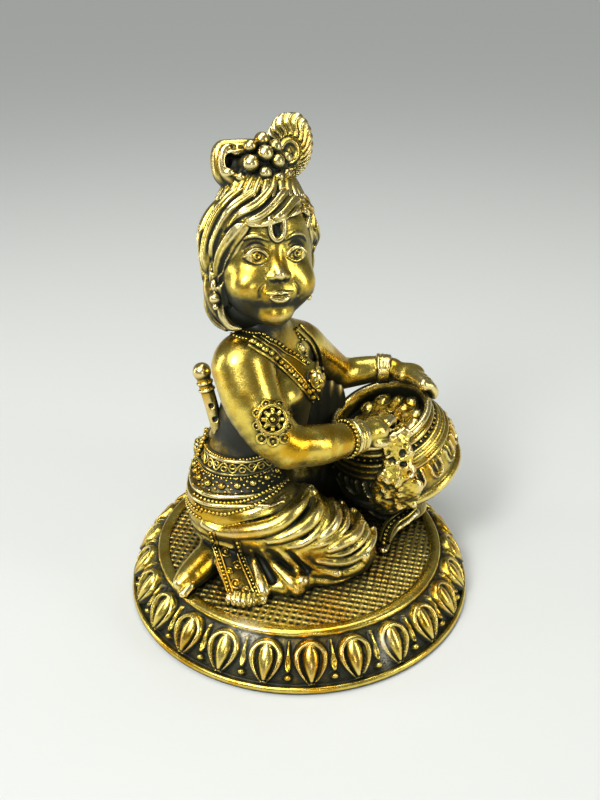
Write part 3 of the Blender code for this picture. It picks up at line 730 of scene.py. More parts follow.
def model_body():
    clay = Clay(*BLOCKS["body"])
    for centre, radii, turn in TRUNK:
        clay.add(ball(centre, radii, turn_about((0, 0, 1), -math.radians(turn))), 2.5)
    for route, blend in ((NECK, 2.0), (SHOULDERS, 2.5), (NEAR_UPPER_ARM, 2.5), (FAR_UPPER_ARM, 2.5)):
        clay.add(limb(route), blend)
    clay.add(limb(NEAR_FOREARM), 1.2)
    clay.add(limb(FAR_FOREARM), 1.2)
    for side in (-1, 1):
        breast = np.array((-7.2, -1.4, 53.0)) + CHEST_FACING * 8.2 + np.array((0.59, 0.81, 0)) * 5.4 * side
        clay.add(ball(breast, (4.4, 4.6, 4.0)), 3.0)
        blade = np.array((-8.2, -0.6, 55.5)) - CHEST_FACING * 6.6 + np.array((0.59, 0.81, 0)) * 5.6 * side
        clay.add(ball(blade, (3.4, 4.4, 5.0)), 4.0)
    spine = press(clay, [(-9 + 0.5 * k, 1.5, 62 - 4.6 * k) for k in range(7)], CHEST_FACING)
    clay.cut(cord(spine, 1.1), 2.0)
    near, far = spline(NEAR_FOREARM), spline(FAR_FOREARM)
    clay.add(ball((20.2, -4.8, 38.9), (4.2, 3.5, 3.2)), 1.5)
    for k in range(4):
        side = 1.75 * k - 1.6
        knuckles = [
            (20.0 + side, -4.4 + 0.4 * k, 40.2, 1.35),
            (21.4 + side, -2.0 + 0.4 * k, 40.2, 1.4),
            (22.2 + side, 0.2 + 0.4 * k, 38.6, 1.25),
            (22.4 + side, 1.2 + 0.4 * k, 36.4, 1.05),
        ]
        clay.add(limb(knuckles, 3), 0.25)
    clay.add(limb([(18.2, -6.8, 38.0, 1.6), (20.6, -7.6, 36.8, 1.5), (23.0, -6.6, 36.0, 1.2)], 3), 0.4)
    clay.add(ball((32.4, 22.6, 42.8), (5.0, 4.2, 2.9)), 1.5)
    for k in range(4):
        turn = math.radians(122 - 7.4 * k)
        knuckle, tip = (16.8 - 0.2 * k, 16.2, 1.55), (10.8 + 0.6 * k, 16.4, 1.2)
        chain = [(17.8 - 0.2 * k, 14.6, 1.65), knuckle, (13.8, 16.8, 1.45), tip]
        clay.add(limb([(*on_pot(along, reach, turn), radius) for along, reach, radius in chain], 3), 0.45)
        root = (31.0 + 0.6 * k, 24.4 - 1.5 * k, 42.9, 2.0)
        clay.add(limb([root, (*on_pot(17.8, 14.6, turn), 1.65)], 2), 0.7)
    for place, radius in ((9, 0.55), (11, 0.6)):
        clay.add(cord(ring_about(near, place, 0.35), radius, 1, True), 0.25)
    for share in (0.35, 0.7):
        middle = near.copy()
        middle[10] = near[9] + (near[11] - near[9]) * share
        clay.add(cord(ring_about(middle, 10, 0.35), 0.5, 1, True), 0.25)
    for place in (8, 9, 10, 11):
        clay.add(cord(ring_about(far, place, 0.35), 0.55, 1, True), 0.25)
    return clay, near, far


# Chest jewellery, at the photo's pixels.

GARLAND_LEFT = [
    (250, 340), (257, 344), (263, 348.6), (270, 353), (276, 358.6), (282, 363.4), (288, 368.5),
    (293.4, 374), (298.5, 379), (302, 384), (308, 391), (312, 397), (316.5, 402),
]
GARLAND_RIGHT = [(297, 326), (304, 333), (312, 341.5), (317, 352), (319, 363), (319.5, 373)]
NECKLACE_HIGH = [
    (262, 333), (270, 339), (276.5, 342), (281.6, 345.5), (286.7, 349.6),
    (295, 353.7), (301, 357.8), (308, 363),
]
NECKLACE_LOW = [(295.4, 328.7), (297.4, 334), (300.5, 339), (306, 339.4)]
BROOCH = (315.5, 381)
PENDANT = (301, 348.6)
ARMLET = (272.5, 419.5)
ARMLET_RAYS = 8
ARMLET_RIM = 13.8
ARMLET_RINGS = ((-10.5, 19.0), (0.5, 21.5), (11.5, 18.5))
PENDANT_DROPS = [(305, 350.6), (305.6, 355.7), (303, 361)]
CORD_LIFT = 0.1
COLLARS = [
    [(233, 327.5), (242, 331), (252, 333), (262, 333.5)],
    [(230, 333), (238, 337), (247, 339)],
]


def laid(clay, pixels, radius, closed=False):
    """A fine cord along pixels, a little proud of the clay."""
    return cast(clay, pixels, -CORD_LIFT), radius, closed


def pixel_circle(centre, radius, count=14, squash=1.0, start=0.0):
    turns = around(count, start)
    return np.column_stack([centre[0] + radius * np.cos(turns), centre[1] + radius * squash * np.sin(turns)])


def spiral(centre, radius, end, turns, count, start=0.0, squash=1.0):
    """Pixels of a spiral that winds in from a radius to its end."""
    turn, reach = np.linspace(0, turns, count) + start, np.linspace(radius, end, count)
    return np.column_stack([centre[0] + reach * np.cos(turn), centre[1] + squash * reach * np.sin(turn)])


def beside(route, gap):
    """The route moved sideways in the picture."""
    route = np.asarray(route, float)
    along = np.gradient(route, axis=0)
    along /= length(along)[:, None]
    return route + np.column_stack([-along[:, 1], along[:, 0]]) * gap


def dress_chest(clay):
    """Borders, pendant, brooch and armlet worked on the body; returns its beads and cords."""
    left, right = dense(GARLAND_LEFT), dense(GARLAND_RIGHT)
    widths = np.linspace(1, 0.6, len(left))[:, None]
    borders = []
    for side in (-5.0, 5.0):
        borders.append(laid(clay, left + (beside(left, side) - left) * widths, 0.52))
    for side in (-2.6, 2.6):
        borders.append(laid(clay, beside(right, side), 0.62))
    beads = [(cast(clay, dense(GARLAND_LEFT, 6.8)), 1.15)]
    beads.append((cast(clay, dense(NECKLACE_HIGH, 4.4)), 0.62))
    beads.append((cast(clay, dense(NECKLACE_LOW, 3.6)), 0.52))
    beads.append((cast(clay, PENDANT_DROPS), 0.7))
    borders.append((cast(clay, beside(dense(NECKLACE_HIGH), 3.4)), 0.32, False))
    drop = cast(clay, [PENDANT])[0]
    clay.add(ball(drop, (1.1, 1.1, 1.7)), 0.3)
    brooch = cast(clay, [BROOCH])[0]
    clay.add(ball(brooch, (2.1, 2.1, 3.2)), 0.4)
    curl = spline(spiral(BROOCH, 5.6, 1.0, 9, 26, squash=1.4), 2)
    borders.append(laid(clay, evenly(curl, 1.2), 0.36))
    beads.append((cast(clay, pixel_circle(BROOCH, 5.6, 6, 1.9)), 0.75))
    for collar in COLLARS:
        beads.append((cast(clay, dense(collar, 3.2)), 0.46))
    return beads, borders + work_armlet(clay, beads)


def work_armlet(clay, beads):
    """A pierced star in a scalloped border, with three rings below it; returns its cords."""
    x, y = ARMLET
    for reach in (5, 11):
        for point in cast(clay, pixel_circle(ARMLET, reach, 12, 1.05)):
            clay.add(ball(point, 1.45), 0.8)
    turns = around(ARMLET_RAYS)
    for point in cast(clay, pixel_circle(ARMLET, 9.0, ARMLET_RAYS, 1.0, math.pi / ARMLET_RAYS)):
        clay.cut(ball(point, 0.85), 0.12)
    cords = [laid(clay, pixel_circle(ARMLET, ARMLET_RIM, 40), 0.46, True)]
    cords.append(laid(clay, pixel_circle(ARMLET, 5.0, 20), 0.34, True))
    for turn in turns:
        tip = (x + 13.0 * math.cos(turn), y + 13.0 * math.sin(turn))
        root = (x + 4.6 * math.cos(turn), y + 4.6 * math.sin(turn))
        ray = cast(clay, dense([root, tip], 1.6), -0.3)
        cords.append((ray, np.linspace(1.0, 0.45, len(ray)), False))
        lobe = (x + 16.6 * math.cos(turn + 0.4), y + 16.6 * math.sin(turn + 0.4))
        if lobe[1] < y + 9:
            cords.append(laid(clay, pixel_circle(lobe, 3.9, 14), 0.34, True))
            beads.append((cast(clay, [lobe]), 0.4))
    for dx, dy in ARMLET_RINGS:
        cords.append(laid(clay, pixel_circle((x + dx, y + dy), 4.9, 16), 0.42, True))
        beads.append((cast(clay, [(x + dx, y + dy)]), 0.45))
    beads.append((cast(clay, [ARMLET]), 1.0))
    return cords


def bracelet_beads(near, far):
    """Small balls between the wrists' ridges."""
    groups = []
    for place, size in ((8, 0.5), (10, 0.42)):
        groups.append((ring_about(near, place, 0.4, 26), size))
    between = far.copy()
    for low in (8, 9, 10):
        between[low] = (far[low] + far[low + 1]) / 2
    for place in (8, 9, 10):
        groups.append((ring_about(between, place, 0.3, 22), 0.42))
    return groups


# The flute, up the back and into the waist cloth.

FLUTE = [(-25.6, -1.5, 53.6, 1.9), (-22.6, -3.4, 41.0, 1.8), (-20.0, -5.2, 27.0, 1.8)]


def model_flute():
    clay = Clay(*BLOCKS["flute"])
    clay.add(limb(FLUTE), 0.2)
    top, low = np.array(FLUTE[0][:3]), np.array(FLUTE[1][:3])
    clay.add(ball(top + (-0.3, 0.2, 1.4), 2.5), 0.2)
    along = unit(low - top)
    across = unit(np.cross(along, (0, 1, 0)))
    other = np.cross(along, across)
    turns = around(20)[:, None]
    for reach in (1.6, 3.6, 24.0):
        centre = top + along * reach
        clay.add(cord(centre + 1.95 * (across * np.cos(turns) + other * np.sin(turns)), 0.42, 1, True), 0.15)
    for reach in (8.2, 12.2, 16.2):
        hole = top + along * reach + unit((0.1, -1, 0.3)) * 1.8
        clay.cut(ball(hole, 0.75), 0.2)
    return clay


# The dress, the legs and the feet.

NEAR_THIGH = [
    (-19.0, -8.0, 17.5, 12.0), (-8.0, -12.0, 15.5, 11.6), (4.0, -14.0, 12.0, 10.0),
    (13.5, -13.5, 7.6, 7.6),
]
NEAR_SHIN = [
    (14.0, -13.5, 4.5, 6.6), (2.0, -16.0, 4.0, 6.4), (-10.0, -15.0, 3.8, 5.6), (-20.0, -12.0, 4.2, 4.2),
]
FAR_THIGH = [
    (-16.0, 9.0, 17.0, 12.0), (-4.0, 15.0, 14.5, 10.8), (7.0, 20.0, 10.5, 8.8), (14.0, 22.5, 7.0, 7.2),
]
FAR_SHIN = [(14.0, 22.5, 4.5, 5.8), (2.0, 22.5, 3.8, 5.4), (-10.0, 20.5, 3.6, 4.8), (-18.0, 18.0, 3.6, 4.0)]
NEAR_FOOT = [
    (-20.5, -11.0, 4.8, 4.2), (-25.0, -16.0, 4.4, 4.6), (-29.5, -22.0, 3.4, 3.8),
    (-31.8, -24.8, 2.8, 2.4),
]
FAR_FOOT = [
    (-18.0, 18.0, 4.2, 4.0), (-22.5, 21.0, 4.2, 4.2), (-27.0, 23.5, 3.2, 3.4), (-30.0, 25.5, 2.6, 2.2),
]
HIP_WRAP = [
    (-17.0, -0.5, 12.0, 13.4, 15.4),
    (-17.2, -0.5, 16.0, 14.4, 16.4),
    (-17.2, -0.7, 20.5, 14.2, 16.4),
    (-16.6, -0.8, 25.0, 13.4, 15.4),
    (-15.8, -0.9, 29.5, 12.2, 13.8),
    (-15.4, -1.0, 33.0, 11.2, 12.8),
    (-15.1, -1.0, 35.2, 10.9, 12.5),
]
WAIST = (-16.4, -0.8)
WAIST_REACH = 13
WRAP_MIDDLE = 20.0
WRAP_HALF = 15.0

# Folds of the cloth: pixels of the photo along each one, and its radius at both ends.
FOLDS = [
    ([(203, 523), (225, 531.5), (253, 530), (277, 524), (295, 510), (303.5, 498), (304, 487)], 2.0, 2.9),
    ([(268, 541), (288, 535), (307, 524), (316, 511), (314, 499), (309, 489)], 1.8, 2.7),
    ([(319, 539), (331.6, 527.4), (336.4, 516), (334.4, 506.4), (329.7, 497.8)], 2.0, 1.7),
    ([(312.4, 546.6), (328.7, 540.8), (342, 531), (346, 519.8), (344, 508.3), (338.3, 498.7)], 1.2, 1.4),
    ([(328.7, 549.4), (341, 542.7), (353.6, 535), (358.4, 525.5), (357.4, 517.8), (351.7, 510.2)], 2.3, 1.8),
    ([(326.8, 555), (343, 553.3), (357.4, 544.6), (365, 535), (366, 526.5), (362, 519.8)], 1.1, 1.1),
    ([(317, 560), (338.3, 561.9), (353.6, 558), (367, 548.5), (373, 537), (373, 527.4)], 1.5, 1.5),
    ([(303.8, 568.6), (319, 571.4), (338.3, 572.4), (357.4, 565.7), (367, 554.2)], 1.9, 1.8),
    ([(248, 515), (271, 505), (288, 494)], 0.8, 1.0),
    ([(286, 547), (303, 543), (318, 531), (326, 516), (324, 502)], 1.0, 1.5),
]
# Folds that run from under the thigh out to the field, and the trenches between them.
GROUND_FOLDS = [
    ([(251, 549), (255, 562), (260, 578), (264, 593)], 0.5, 2.0),
    ([(262, 549), (271, 561), (284, 575), (297, 587)], 0.5, 2.6),
    ([(277, 549), (288, 558), (297, 569), (302, 581)], 0.5, 1.9),
    ([(243, 558), (247, 574), (253, 592)], 0.5, 1.7),
    ([(297, 552), (306, 561), (320, 569), (338, 573)], 0.5, 1.5),
]
GROUND_TRENCHES = [
    [(256, 553), (263, 565), (272, 581)],
    [(269, 551), (281, 562), (293, 575)],
    [(288, 552), (299, 562), (306, 571)],
]
TRENCH_RADII = (0.7, 1.3)
GROUND_CLOTH = [
    [(-11.5, -20.0, 3.6, 3.4), (-10.2, -25.6, 1.6, 2.2)],
    [(-6.5, -20.0, 3.8, 3.6), (-3.4, -25.0, 1.8, 2.6)],
    [(-0.5, -20.0, 3.8, 3.4), (1.0, -23.0, 2.2, 2.6)],
]
SWAGS = [
    [(193, 493), (207, 500), (228, 503), (248, 500), (265, 492), (283, 483), (289, 476)],
    [(194.5, 503), (204, 510), (220, 514), (232, 513), (253, 506), (272, 495), (289, 479)],
]
BACK_BEADS = [(206.7, 428), (205.5, 435), (202.5, 443), (199.5, 451), (198, 458)]


def wrap_form():
    """The cloth wound round the hips, as a loft of ellipses."""
    stations = np.array(HIP_WRAP)

    def distance(points):
        z = np.clip(points[..., 2], stations[0, 2], stations[-1, 2])
        x, y, long, wide = (np.interp(z, stations[:, 2], stations[:, k]) for k in (0, 1, 3, 4))
        px, py = points[..., 0] - x, points[..., 1] - y
        reach = np.sqrt((px / long) ** 2 + (py / wide) ** 2)
        side = reach * (reach - 1) / np.maximum(np.sqrt((px / long**2) ** 2 + (py / wide**2) ** 2), 1e-6)
        return np.maximum(side, np.abs(points[..., 2] - WRAP_MIDDLE) - WRAP_HALF)

    return [(distance, np.array((-32, -18, 4.0)), np.array((-1, 18, 36.0)))]


def round_waist(clay, turns, height, slope):
    """Points on the cloth at a height that rises towards the knees, seen from the waist's axis."""
    turns = np.asarray(turns, float)
    out = np.column_stack([np.cos(turns), np.sin(turns), np.zeros(len(turns))])
    centre = np.tile((*WAIST, 0.0), (len(turns), 1))
    centre[:, 2] = height + slope * WAIST_REACH * out[:, 0]
    return press(clay, centre, -out, reach=24)


def fold(clay, pixels, first, last):
    """A fold of the cloth in a trench of its own, along pixels of the photo."""
    points = cast(clay, dense(pixels, 3.2), 0.5)
    radii = np.linspace(first, last, len(points))
    clay.cut(limb(sized(points, radii * swell(len(points), 0.08, 0.5) * 1.15), 1), 0.6)
    clay.add(limb(sized(points, radii * swell(len(points), 0.25, 0.35)), 1), 0.5)


def drape(clay, pixels, sink):
    """A route on the clay with its small steps evened out."""
    points = cast(clay, dense(pixels, 2.5), sink)
    for _ in range(4):
        points[1:-1] = (points[:-2] + 2 * points[1:-1] + points[2:]) / 4
    return points


def far_side_folds(clay):
    """The cloth over the far thigh and round the back, which the photo doesn't show."""
    route = spline(FAR_THIGH, 8)
    for k, place in enumerate((3, 7, 11, 14, 17, 20, 22, 24)):
        centre, radius = route[place][:3], route[place][3]
        turns = np.linspace(2.3, -0.7, 12)
        lean = -5.4 * np.cos(turns) + 1.6 * math.sin(k * 2.1)
        inner = radius * 0.98
        ring = centre + np.column_stack([lean + 1.0, inner * np.cos(turns), inner * np.sin(turns)])
        ring[:, 2] = np.maximum(ring[:, 2], 0.8)
        out = ring - centre
        points = press(clay, ring, -out / length(out)[:, None], 0.3, reach=6)
        thick = (1.2 + 0.5 * math.sin(k * 2.6)) * np.sin(np.linspace(0.3, 2.9, 12)) ** 0.6
        clay.add(limb(sized(points, thick), 2), 1.3)
    for k, (height, slope) in enumerate(((14.5, 0.2), (11.6, 0.1), (8.8, 0.0))):
        turns = np.linspace(1.2, 4.6, 22)
        points = round_waist(clay, turns, height + 0.8 * math.sin(k * 1.7), slope)
        points[:, 2] += 1.3 * np.sin(turns * 2.0 + k)
        thick = 1.25 * np.sin(np.linspace(0.2, 2.94, 22)) ** 0.5
        clay.add(limb(sized(points + (0.4, 0, 0), thick), 1), 0.9)


HEM = [
    (-10.5, -25.4, 2.0, 2.0), (-3.5, -24.8, 2.0, 2.3), (2.5, -22.0, 2.0, 2.1), (9.0, -21.6, 2.0, 2.1),
    (15.0, -17.6, 2.0, 2.1), (19.6, -12.0, 2.4, 2.3),
]
FAR_HEM = [
    (19.5, 14.0, 2.0, 1.8), (18.5, 22.0, 2.0, 2.0), (12.0, 28.0, 2.0, 2.0), (2.0, 28.5, 1.9, 2.0),
    (-8.0, 26.6, 1.9, 1.9), (-15.0, 23.0, 2.0, 1.8),
]
SASH = [(-21.0, -9.5, 8.4, 5.6), (-19.0, -16.0, 6.8, 5.4), (-16.4, -22.0, 3.8, 5.4), (-13.8, -27.2, 1.6, 5.2)]
SASH_FLAT = 0.30
SASH_UP = (0.25, -0.45, 0.86)
SASH_LEFT_EDGE = [(210, 531), (215, 546), (220.5, 563), (226, 580), (231, 596)]
SASH_RIGHT_EDGE = [(237, 541), (243, 559), (251, 578), (258.5, 595)]
SASH_SCROLLS = [
    (225.5, 551, 5.6, 0.5), (237.5, 565.5, 5.2, 3.4), (236, 583, 5.4, 1.2), (229.5, 571, 3.6, 2.4),
    (246, 589, 4.4, 0.2),
]
RIBBON = [
    (412, 512, 4.6, 2.3), (404, 520, 3.2, 2.2), (394, 527, 2.3, 2.1), (387, 536, 1.8, 2.0),
    (383, 549, 1.3, 1.6),
]
SASH_FRILL = (229, 601.5)
CURL_HEIGHT = 0.7
RIBBON_CURLS = [(383, 526.5, 4.6, 0.4), (389, 521.5, 3.6, 2.6), (377, 531.5, 3.6, 4.4)]
BACK_PANEL = [(-25.6, -2.5, 35.0, 1.2), (-26.6, -2.2, 33.2, 2.1), (-27.6, -1.8, 30.5, 2.9)]
BACK_FACING = (0.9, 0.2, 0.38)


def model_sash(clay, beads, cords):
    """The embroidered end that falls over the heel to the base."""
    clay.add(limb(SASH, 5, SASH_FLAT, SASH_UP), 0.4)
    for edge, side in ((SASH_LEFT_EDGE, 1), (SASH_RIGHT_EDGE, -1)):
        cords.append(laid(clay, beside(dense(edge), -3.2 * side), 0.40))
        cords.append(laid(clay, beside(dense(edge), 2.2 * side), 0.30))
        beads.append((cast(clay, dense(edge, 4.0)), 0.60))
    for x, y, radius, start in SASH_SCROLLS:
        cords.append((cast(clay, spiral((x, y), radius, 1.4, 7.6, 34, start), -0.05), 0.34, False))
        beads.append((cast(clay, [(x, y)]), 0.6))
    for k in range(8):
        frill = cast(clay, [(SASH_FRILL[0] + 5.0 * k, SASH_FRILL[1] - 0.9 * abs(k - 3.5))])[0]
        back, front = frill + (0.2, 1.6, 1.0), frill - (0, 0.8, 0.9)
        clay.add(limb([(*back, 0.8), (*frill, 1.0), (*front, 0.7)], 2), 0.15)


def model_ribbon(clay, beads, cords):
    """A flat tassel between the pot and the knee, with two cords and a row of beads."""
    stations = np.array(RIBBON)
    stations = np.column_stack([on_level(stations[:, :3]), stations[:, 3]])
    clay.add(limb(stations, 4, 0.55, (0, 0, 1)), 0.4)
    for x, y, radius, start in RIBBON_CURLS:
        curl = spiral((x, y), radius, 1.2, 6.6, 24, start, 0.8)
        cords.append((on_level(sized(curl, CURL_HEIGHT)), 0.50, False))
    route = spline(stations, 6)
    along = np.gradient(route[:, :3], axis=0)
    across = np.cross(along, (0, 0, 1))
    across /= length(across)[:, None]
    for side in (-1.35, 1.35):
        edge = route[:, :3] + across * side + (0, 0, 6)
        cords.append((press(clay, edge, (0, 0, -1), -0.1, 4), 0.62, False))
    middle = evenly(route, 1.7)[:, :3] + (0, 0, 6)
    beads.append((press(clay, middle, (0, 0, -1), 0, 4), 0.72))


def toes(clay, foot, side):
    """Five toes at a foot's end, shorter and thinner from the first to the last."""
    end, heel = np.array(foot[-1][:3]), np.array(foot[-2][:3])
    along = unit(end - heel)
    across = unit(np.cross(along, (0, 0, 1))) * side
    for k in range(5):
        base = end + across * (1.35 * k - 2.6) - along * (0.5 + 0.35 * k)
        size = 1.45 - 0.13 * k
        tip = base + along * (2.4 - 0.25 * k)
        clay.add(limb([(*base, size), (*tip[:2], max(tip[2] - 0.7, size + 0.2), size * 0.85)], 2), 0.25)


def model_dress():
    beads, cords = [], []
    clay = Clay(*BLOCKS["dress"])
    clay.add(wrap_form(), 0.5)
    for route in (NEAR_THIGH, FAR_THIGH):
        clay.add(limb(route), 3.0)
    for route in (NEAR_SHIN, FAR_SHIN):
        clay.add(limb(route), 2.0)
    for route in (HEM, FAR_HEM):
        clay.add(limb(route), 1.2)
    for foot, side in ((NEAR_FOOT, 1), (FAR_FOOT, -1)):
        clay.add(limb(foot), 1.2)
        toes(clay, foot, side)
    for pixels, first, last in FOLDS:
        fold(clay, pixels, first, last)
    for stations in GROUND_CLOTH:
        clay.add(limb(stations), 1.5)
    for pixels in GROUND_TRENCHES:
        route = drape(clay, pixels, 0.1)
        clay.cut(limb(sized(route, np.linspace(*TRENCH_RADII, len(route))), 1), 0.6)
    for pixels, first, last in GROUND_FOLDS:
        route = drape(clay, pixels, 0.4)
        clay.add(limb(sized(route, np.linspace(first, last, len(route))), 1), 0.5)
    far_side_folds(clay)
    model_sash(clay, beads, cords)
    model_ribbon(clay, beads, cords)
    clay.add(limb(BACK_PANEL, 4, 0.5, BACK_FACING), 0.5)
    dress_waist(clay, beads, cords)
    return clay, beads, cords


BELT_EDGES = ((34.3, 0.05, 0.60), (30.7, 0.06, 0.50))
WRAP_BANDS = ((25.9, 0.10, 0.90), (24.0, 0.12, 0.80))
OPEN_FROM = 0.95
SCROLLS = 16
SCROLL_HEIGHT = 32.5
STARS = 22
STAR_HEIGHT = 28.2
LOW_SWAGS = ((21.6, 0.12), (19.6, 0.10))


def dress_waist(clay, beads, cords):
    """Belts, scrollwork, stars and beaded swags round the hips."""
    whole = around(120)
    for height, slope, radius in BELT_EDGES:
        clay.add(cord(round_waist(clay, whole, height, slope), radius, 1, True), 0.2)
    behind = np.linspace(OPEN_FROM, math.tau - OPEN_FROM, 84)
    for height, slope, radius in WRAP_BANDS:
        thick = radius * swell(len(behind), 0.1, 0.3)
        clay.add(limb(sized(round_waist(clay, behind, height, slope), thick), 1), 0.2)
    wave = round_waist(clay, whole, SCROLL_HEIGHT + 1.25 * np.sin(whole * SCROLLS), 0.05)
    cords.append((wave, 0.34, True))
    spin = around(14)
    for k in range(SCROLLS * 2):
        turn = math.pi * (k + 0.5) / SCROLLS
        sign = -1 if k % 2 == 0 else 1
        height = SCROLL_HEIGHT + 0.45 * sign + 0.62 * np.sin(spin)
        ring = round_waist(clay, turn + 0.062 * np.cos(spin), height, 0.05)
        cords.append((ring, 0.26, True))
    beads.append((round_waist(clay, around(92), 35.0, 0.05), 0.42))
    beads.append((round_waist(clay, around(96), 29.9, 0.07), 0.36))
    spin = around(7)
    for k in range(STARS):
        turn = math.tau * (k + 0.5) / STARS
        if math.cos(turn) > 0.8:
            continue
        beads.append((round_waist(clay, [turn], STAR_HEIGHT, 0.1), 1.1))
        height = STAR_HEIGHT + 1.6 * np.sin(spin)
        beads.append((round_waist(clay, turn + 0.12 * np.cos(spin), height, 0.1), 0.45))
    for swag in SWAGS:
        beads.append((cast(clay, dense(swag, 4.0)), 0.6))
    turns = np.linspace(1.0, 4.15, 46)
    for height, slope in LOW_SWAGS:
        beads.append((round_waist(clay, turns, height - 0.9 * np.sin(turns * 1.5) ** 2, slope), 0.55))
    beads.append((cast(clay, dense(BACK_BEADS, 4.2), -0.2), 0.78))


WALL = [(3.0, 16.6, 15.0, 11.0), (3.2, 17.0, 26.0, 11.0), (5.5, 18.4, 34.0, 9.5)]
WALL_FLAT = 0.26
WALL_FACING = (-0.35, 0.94, 0)


def model_wall():
    """The recessed cloth between the body and the pot, under the far arm, in a near-black material that is
    painted shade.
    """
    clay = Clay(*BLOCKS["recessed_cloth"])
    clay.add(limb(WALL, 4, WALL_FLAT, WALL_FACING), 0.3)

    def pleats(points):
        return 0.45 * np.sin(points[..., 0] * 2.1 + 0.8 * np.sin(points[..., 2] * 0.22))

    clay.emboss(pleats)
    return clay


# The head: right, up and out of the face, in millimetres from its centre.

HEAD_CENTRE = np.array((-9.3, -2.0, 88.2))
HEAD_YAW = math.radians(21)
HEAD_PITCH = math.radians(15)
HEAD_ROLL = math.radians(-3)
# Masses of the head: right, up, out, radii and blend.
SKULL = [
    (0, 2.2, -1.0, (12.6, 15.0, 13.2), 1.0),
    (0, -6.6, 3.0, (10.8, 10.2, 9.6), 4.0),
    (0, 7.0, 4.6, (8.6, 6.0, 8.0), 3.0),
    (0, -14.6, 8.2, (3.9, 2.9, 3.4), 3.0),
]
HAIR_MASS = [
    (0, 4.0, -3.0, (11.8, 12.0, 11.4), 0.5),
    (0, 11.2, 2.2, (9.8, 4.6, 8.2), 1.0),
    (-0.3, -6.0, -6.2, (10.8, 12.0, 7.6), 2.0),
    (-2.4, -13.4, -4.4, (9.2, 6.8, 7.0), 2.0),
]


def head_frame():
    level = math.cos(HEAD_PITCH)
    face = np.array((math.sin(HEAD_YAW) * level, -math.cos(HEAD_YAW) * level, math.sin(HEAD_PITCH)))
    up = unit(np.array((0, 0, 1)) - face[2] * face)
    turn = turn_about(face, HEAD_ROLL)
    return np.column_stack([turn @ np.cross(up, face), turn @ up, face])


HEAD_AXES = head_frame()


def on_head(points):
    points = np.asarray(points, float)
    placed = HEAD_CENTRE + points[..., :3] @ HEAD_AXES.T
    return placed if points.shape[-1] == 3 else np.concatenate([placed, points[..., 3:]], -1)


def head_ball(right, up, out, radii, tilt=0.0):
    axes = HEAD_AXES @ turn_about((0, 0, 1), math.radians(tilt))
    return ball(on_head((right, up, out)), radii, axes)


def mould(clay, masses):
    """Joins balls on, each as right, up, out, radii and blend."""
    for right, up, out, radii, blend in masses:
        clay.add(head_ball(right, up, out, radii), blend)


def on_face(clay, strokes, lift=0.0):
    """Strokes of (right, up) pushed straight back onto the face."""
    strokes = np.asarray(strokes, float)
    start = on_head(np.column_stack([strokes[:, :2], np.full(len(strokes), 12.0)]))
    return press(clay, start, -HEAD_AXES[:, 2], -lift, reach=14)


def face_line(clay, strokes, radius, lift=0.0, steps=5):
    """A tube along a stroke on the face, as thick as the radius in its middle and tapering out."""
    route = spline(strokes, steps)
    points = on_face(clay, route, lift)
    return limb(sized(points, radius * swell(len(points), 0.18, 0.6)), 1)


def model_head():
    """A calm child's face on even proportions, with round cheeks and a small nose."""
    clay = Clay(*BLOCKS["head"])
    mould(clay, SKULL)
    clay.add(limb(NECK), 2.0)
    for side in (-1, 1):
        clay.add(head_ball(6.0 * side, -7.4, 7.4, (4.6, 4.5, 4.7)), 2.5)
        clay.cut(head_ball(5.0 * side, -0.2, 14.8, (3.4, 2.2, 2.3)), 1.6)
        clay.cut(head_ball(1.9 * side, 0.4, 14.3, (1.1, 2.0, 1.6)), 1.2)
    bridge = [(0, 2.0, 10.7, 1.0), (0, -1.2, 11.4, 1.05), (0, -3.8, 12.6, 1.3), (0, -4.8, 13.0, 1.55)]
    clay.add(limb(on_head(bridge)), 1.4)
    for side in (-1, 1):
        clay.add(head_ball(1.6 * side, -5.3, 12.2, (1.15, 0.95, 1.2)), 0.7)
        clay.cut(head_ball(0.85 * side, -6.3, 13.2, (0.42, 0.35, 0.6)), 0.35)
        clay.add(head_ball(5.0 * side, -0.3, 10.3, (2.7, 1.9, 2.05)), 0.5)
    model_eyes(clay)
    model_mouth(clay)
    for side in (-1, 1):
        brow = [(2.1 * side, 3.2), (4.6 * side, 4.3), (7.0 * side, 4.0), (8.6 * side, 2.6)]
        clay.add(face_line(clay, brow, 0.55), 0.4)
        clay.add(head_ball(12.4 * side, -2.6, -0.6, (1.5, 3.7, 2.5)), 0.8)
    for side, out in ((-1, 1.6), (1, -2.4)):
        clay.add(head_ball(12.9 * side, -7.2, out, (0.9, 1.8, 0.9)), 0.4)
        clay.add(head_ball(12.9 * side, -10.3, out, (1.5, 1.5, 1.5)), 0.15)
        clay.add(head_ball(12.9 * side, -12.4, out, (0.8, 0.8, 0.8)), 0.15)
    mark = [(-1.7, 8.2), (-1.7, 5.6), (-1.2, 3.8), (0, 3.0), (1.2, 3.8), (1.7, 5.6), (1.7, 8.2)]
    clay.add(cord(on_face(clay, spline(mark, 4), 0.15), 0.6, 1), 0.15)
    clay.cut(cord(on_face(clay, spline([(0, 8.0), (0, 6.4), (0, 4.7)], 4)), 0.75, 1), 0.2)
    return clay


UPPER_LID = [(2.3, -0.9), (3.2, 0.5), (4.9, 1.2), (6.6, 0.7), (7.9, -0.6)]
LOWER_LID = [(2.5, -1.0), (3.9, -1.8), (5.4, -1.9), (7.2, -1.0)]
LID_CREASE = [(2.8, 1.5), (4.2, 2.4), (5.8, 2.4), (7.6, 1.2)]


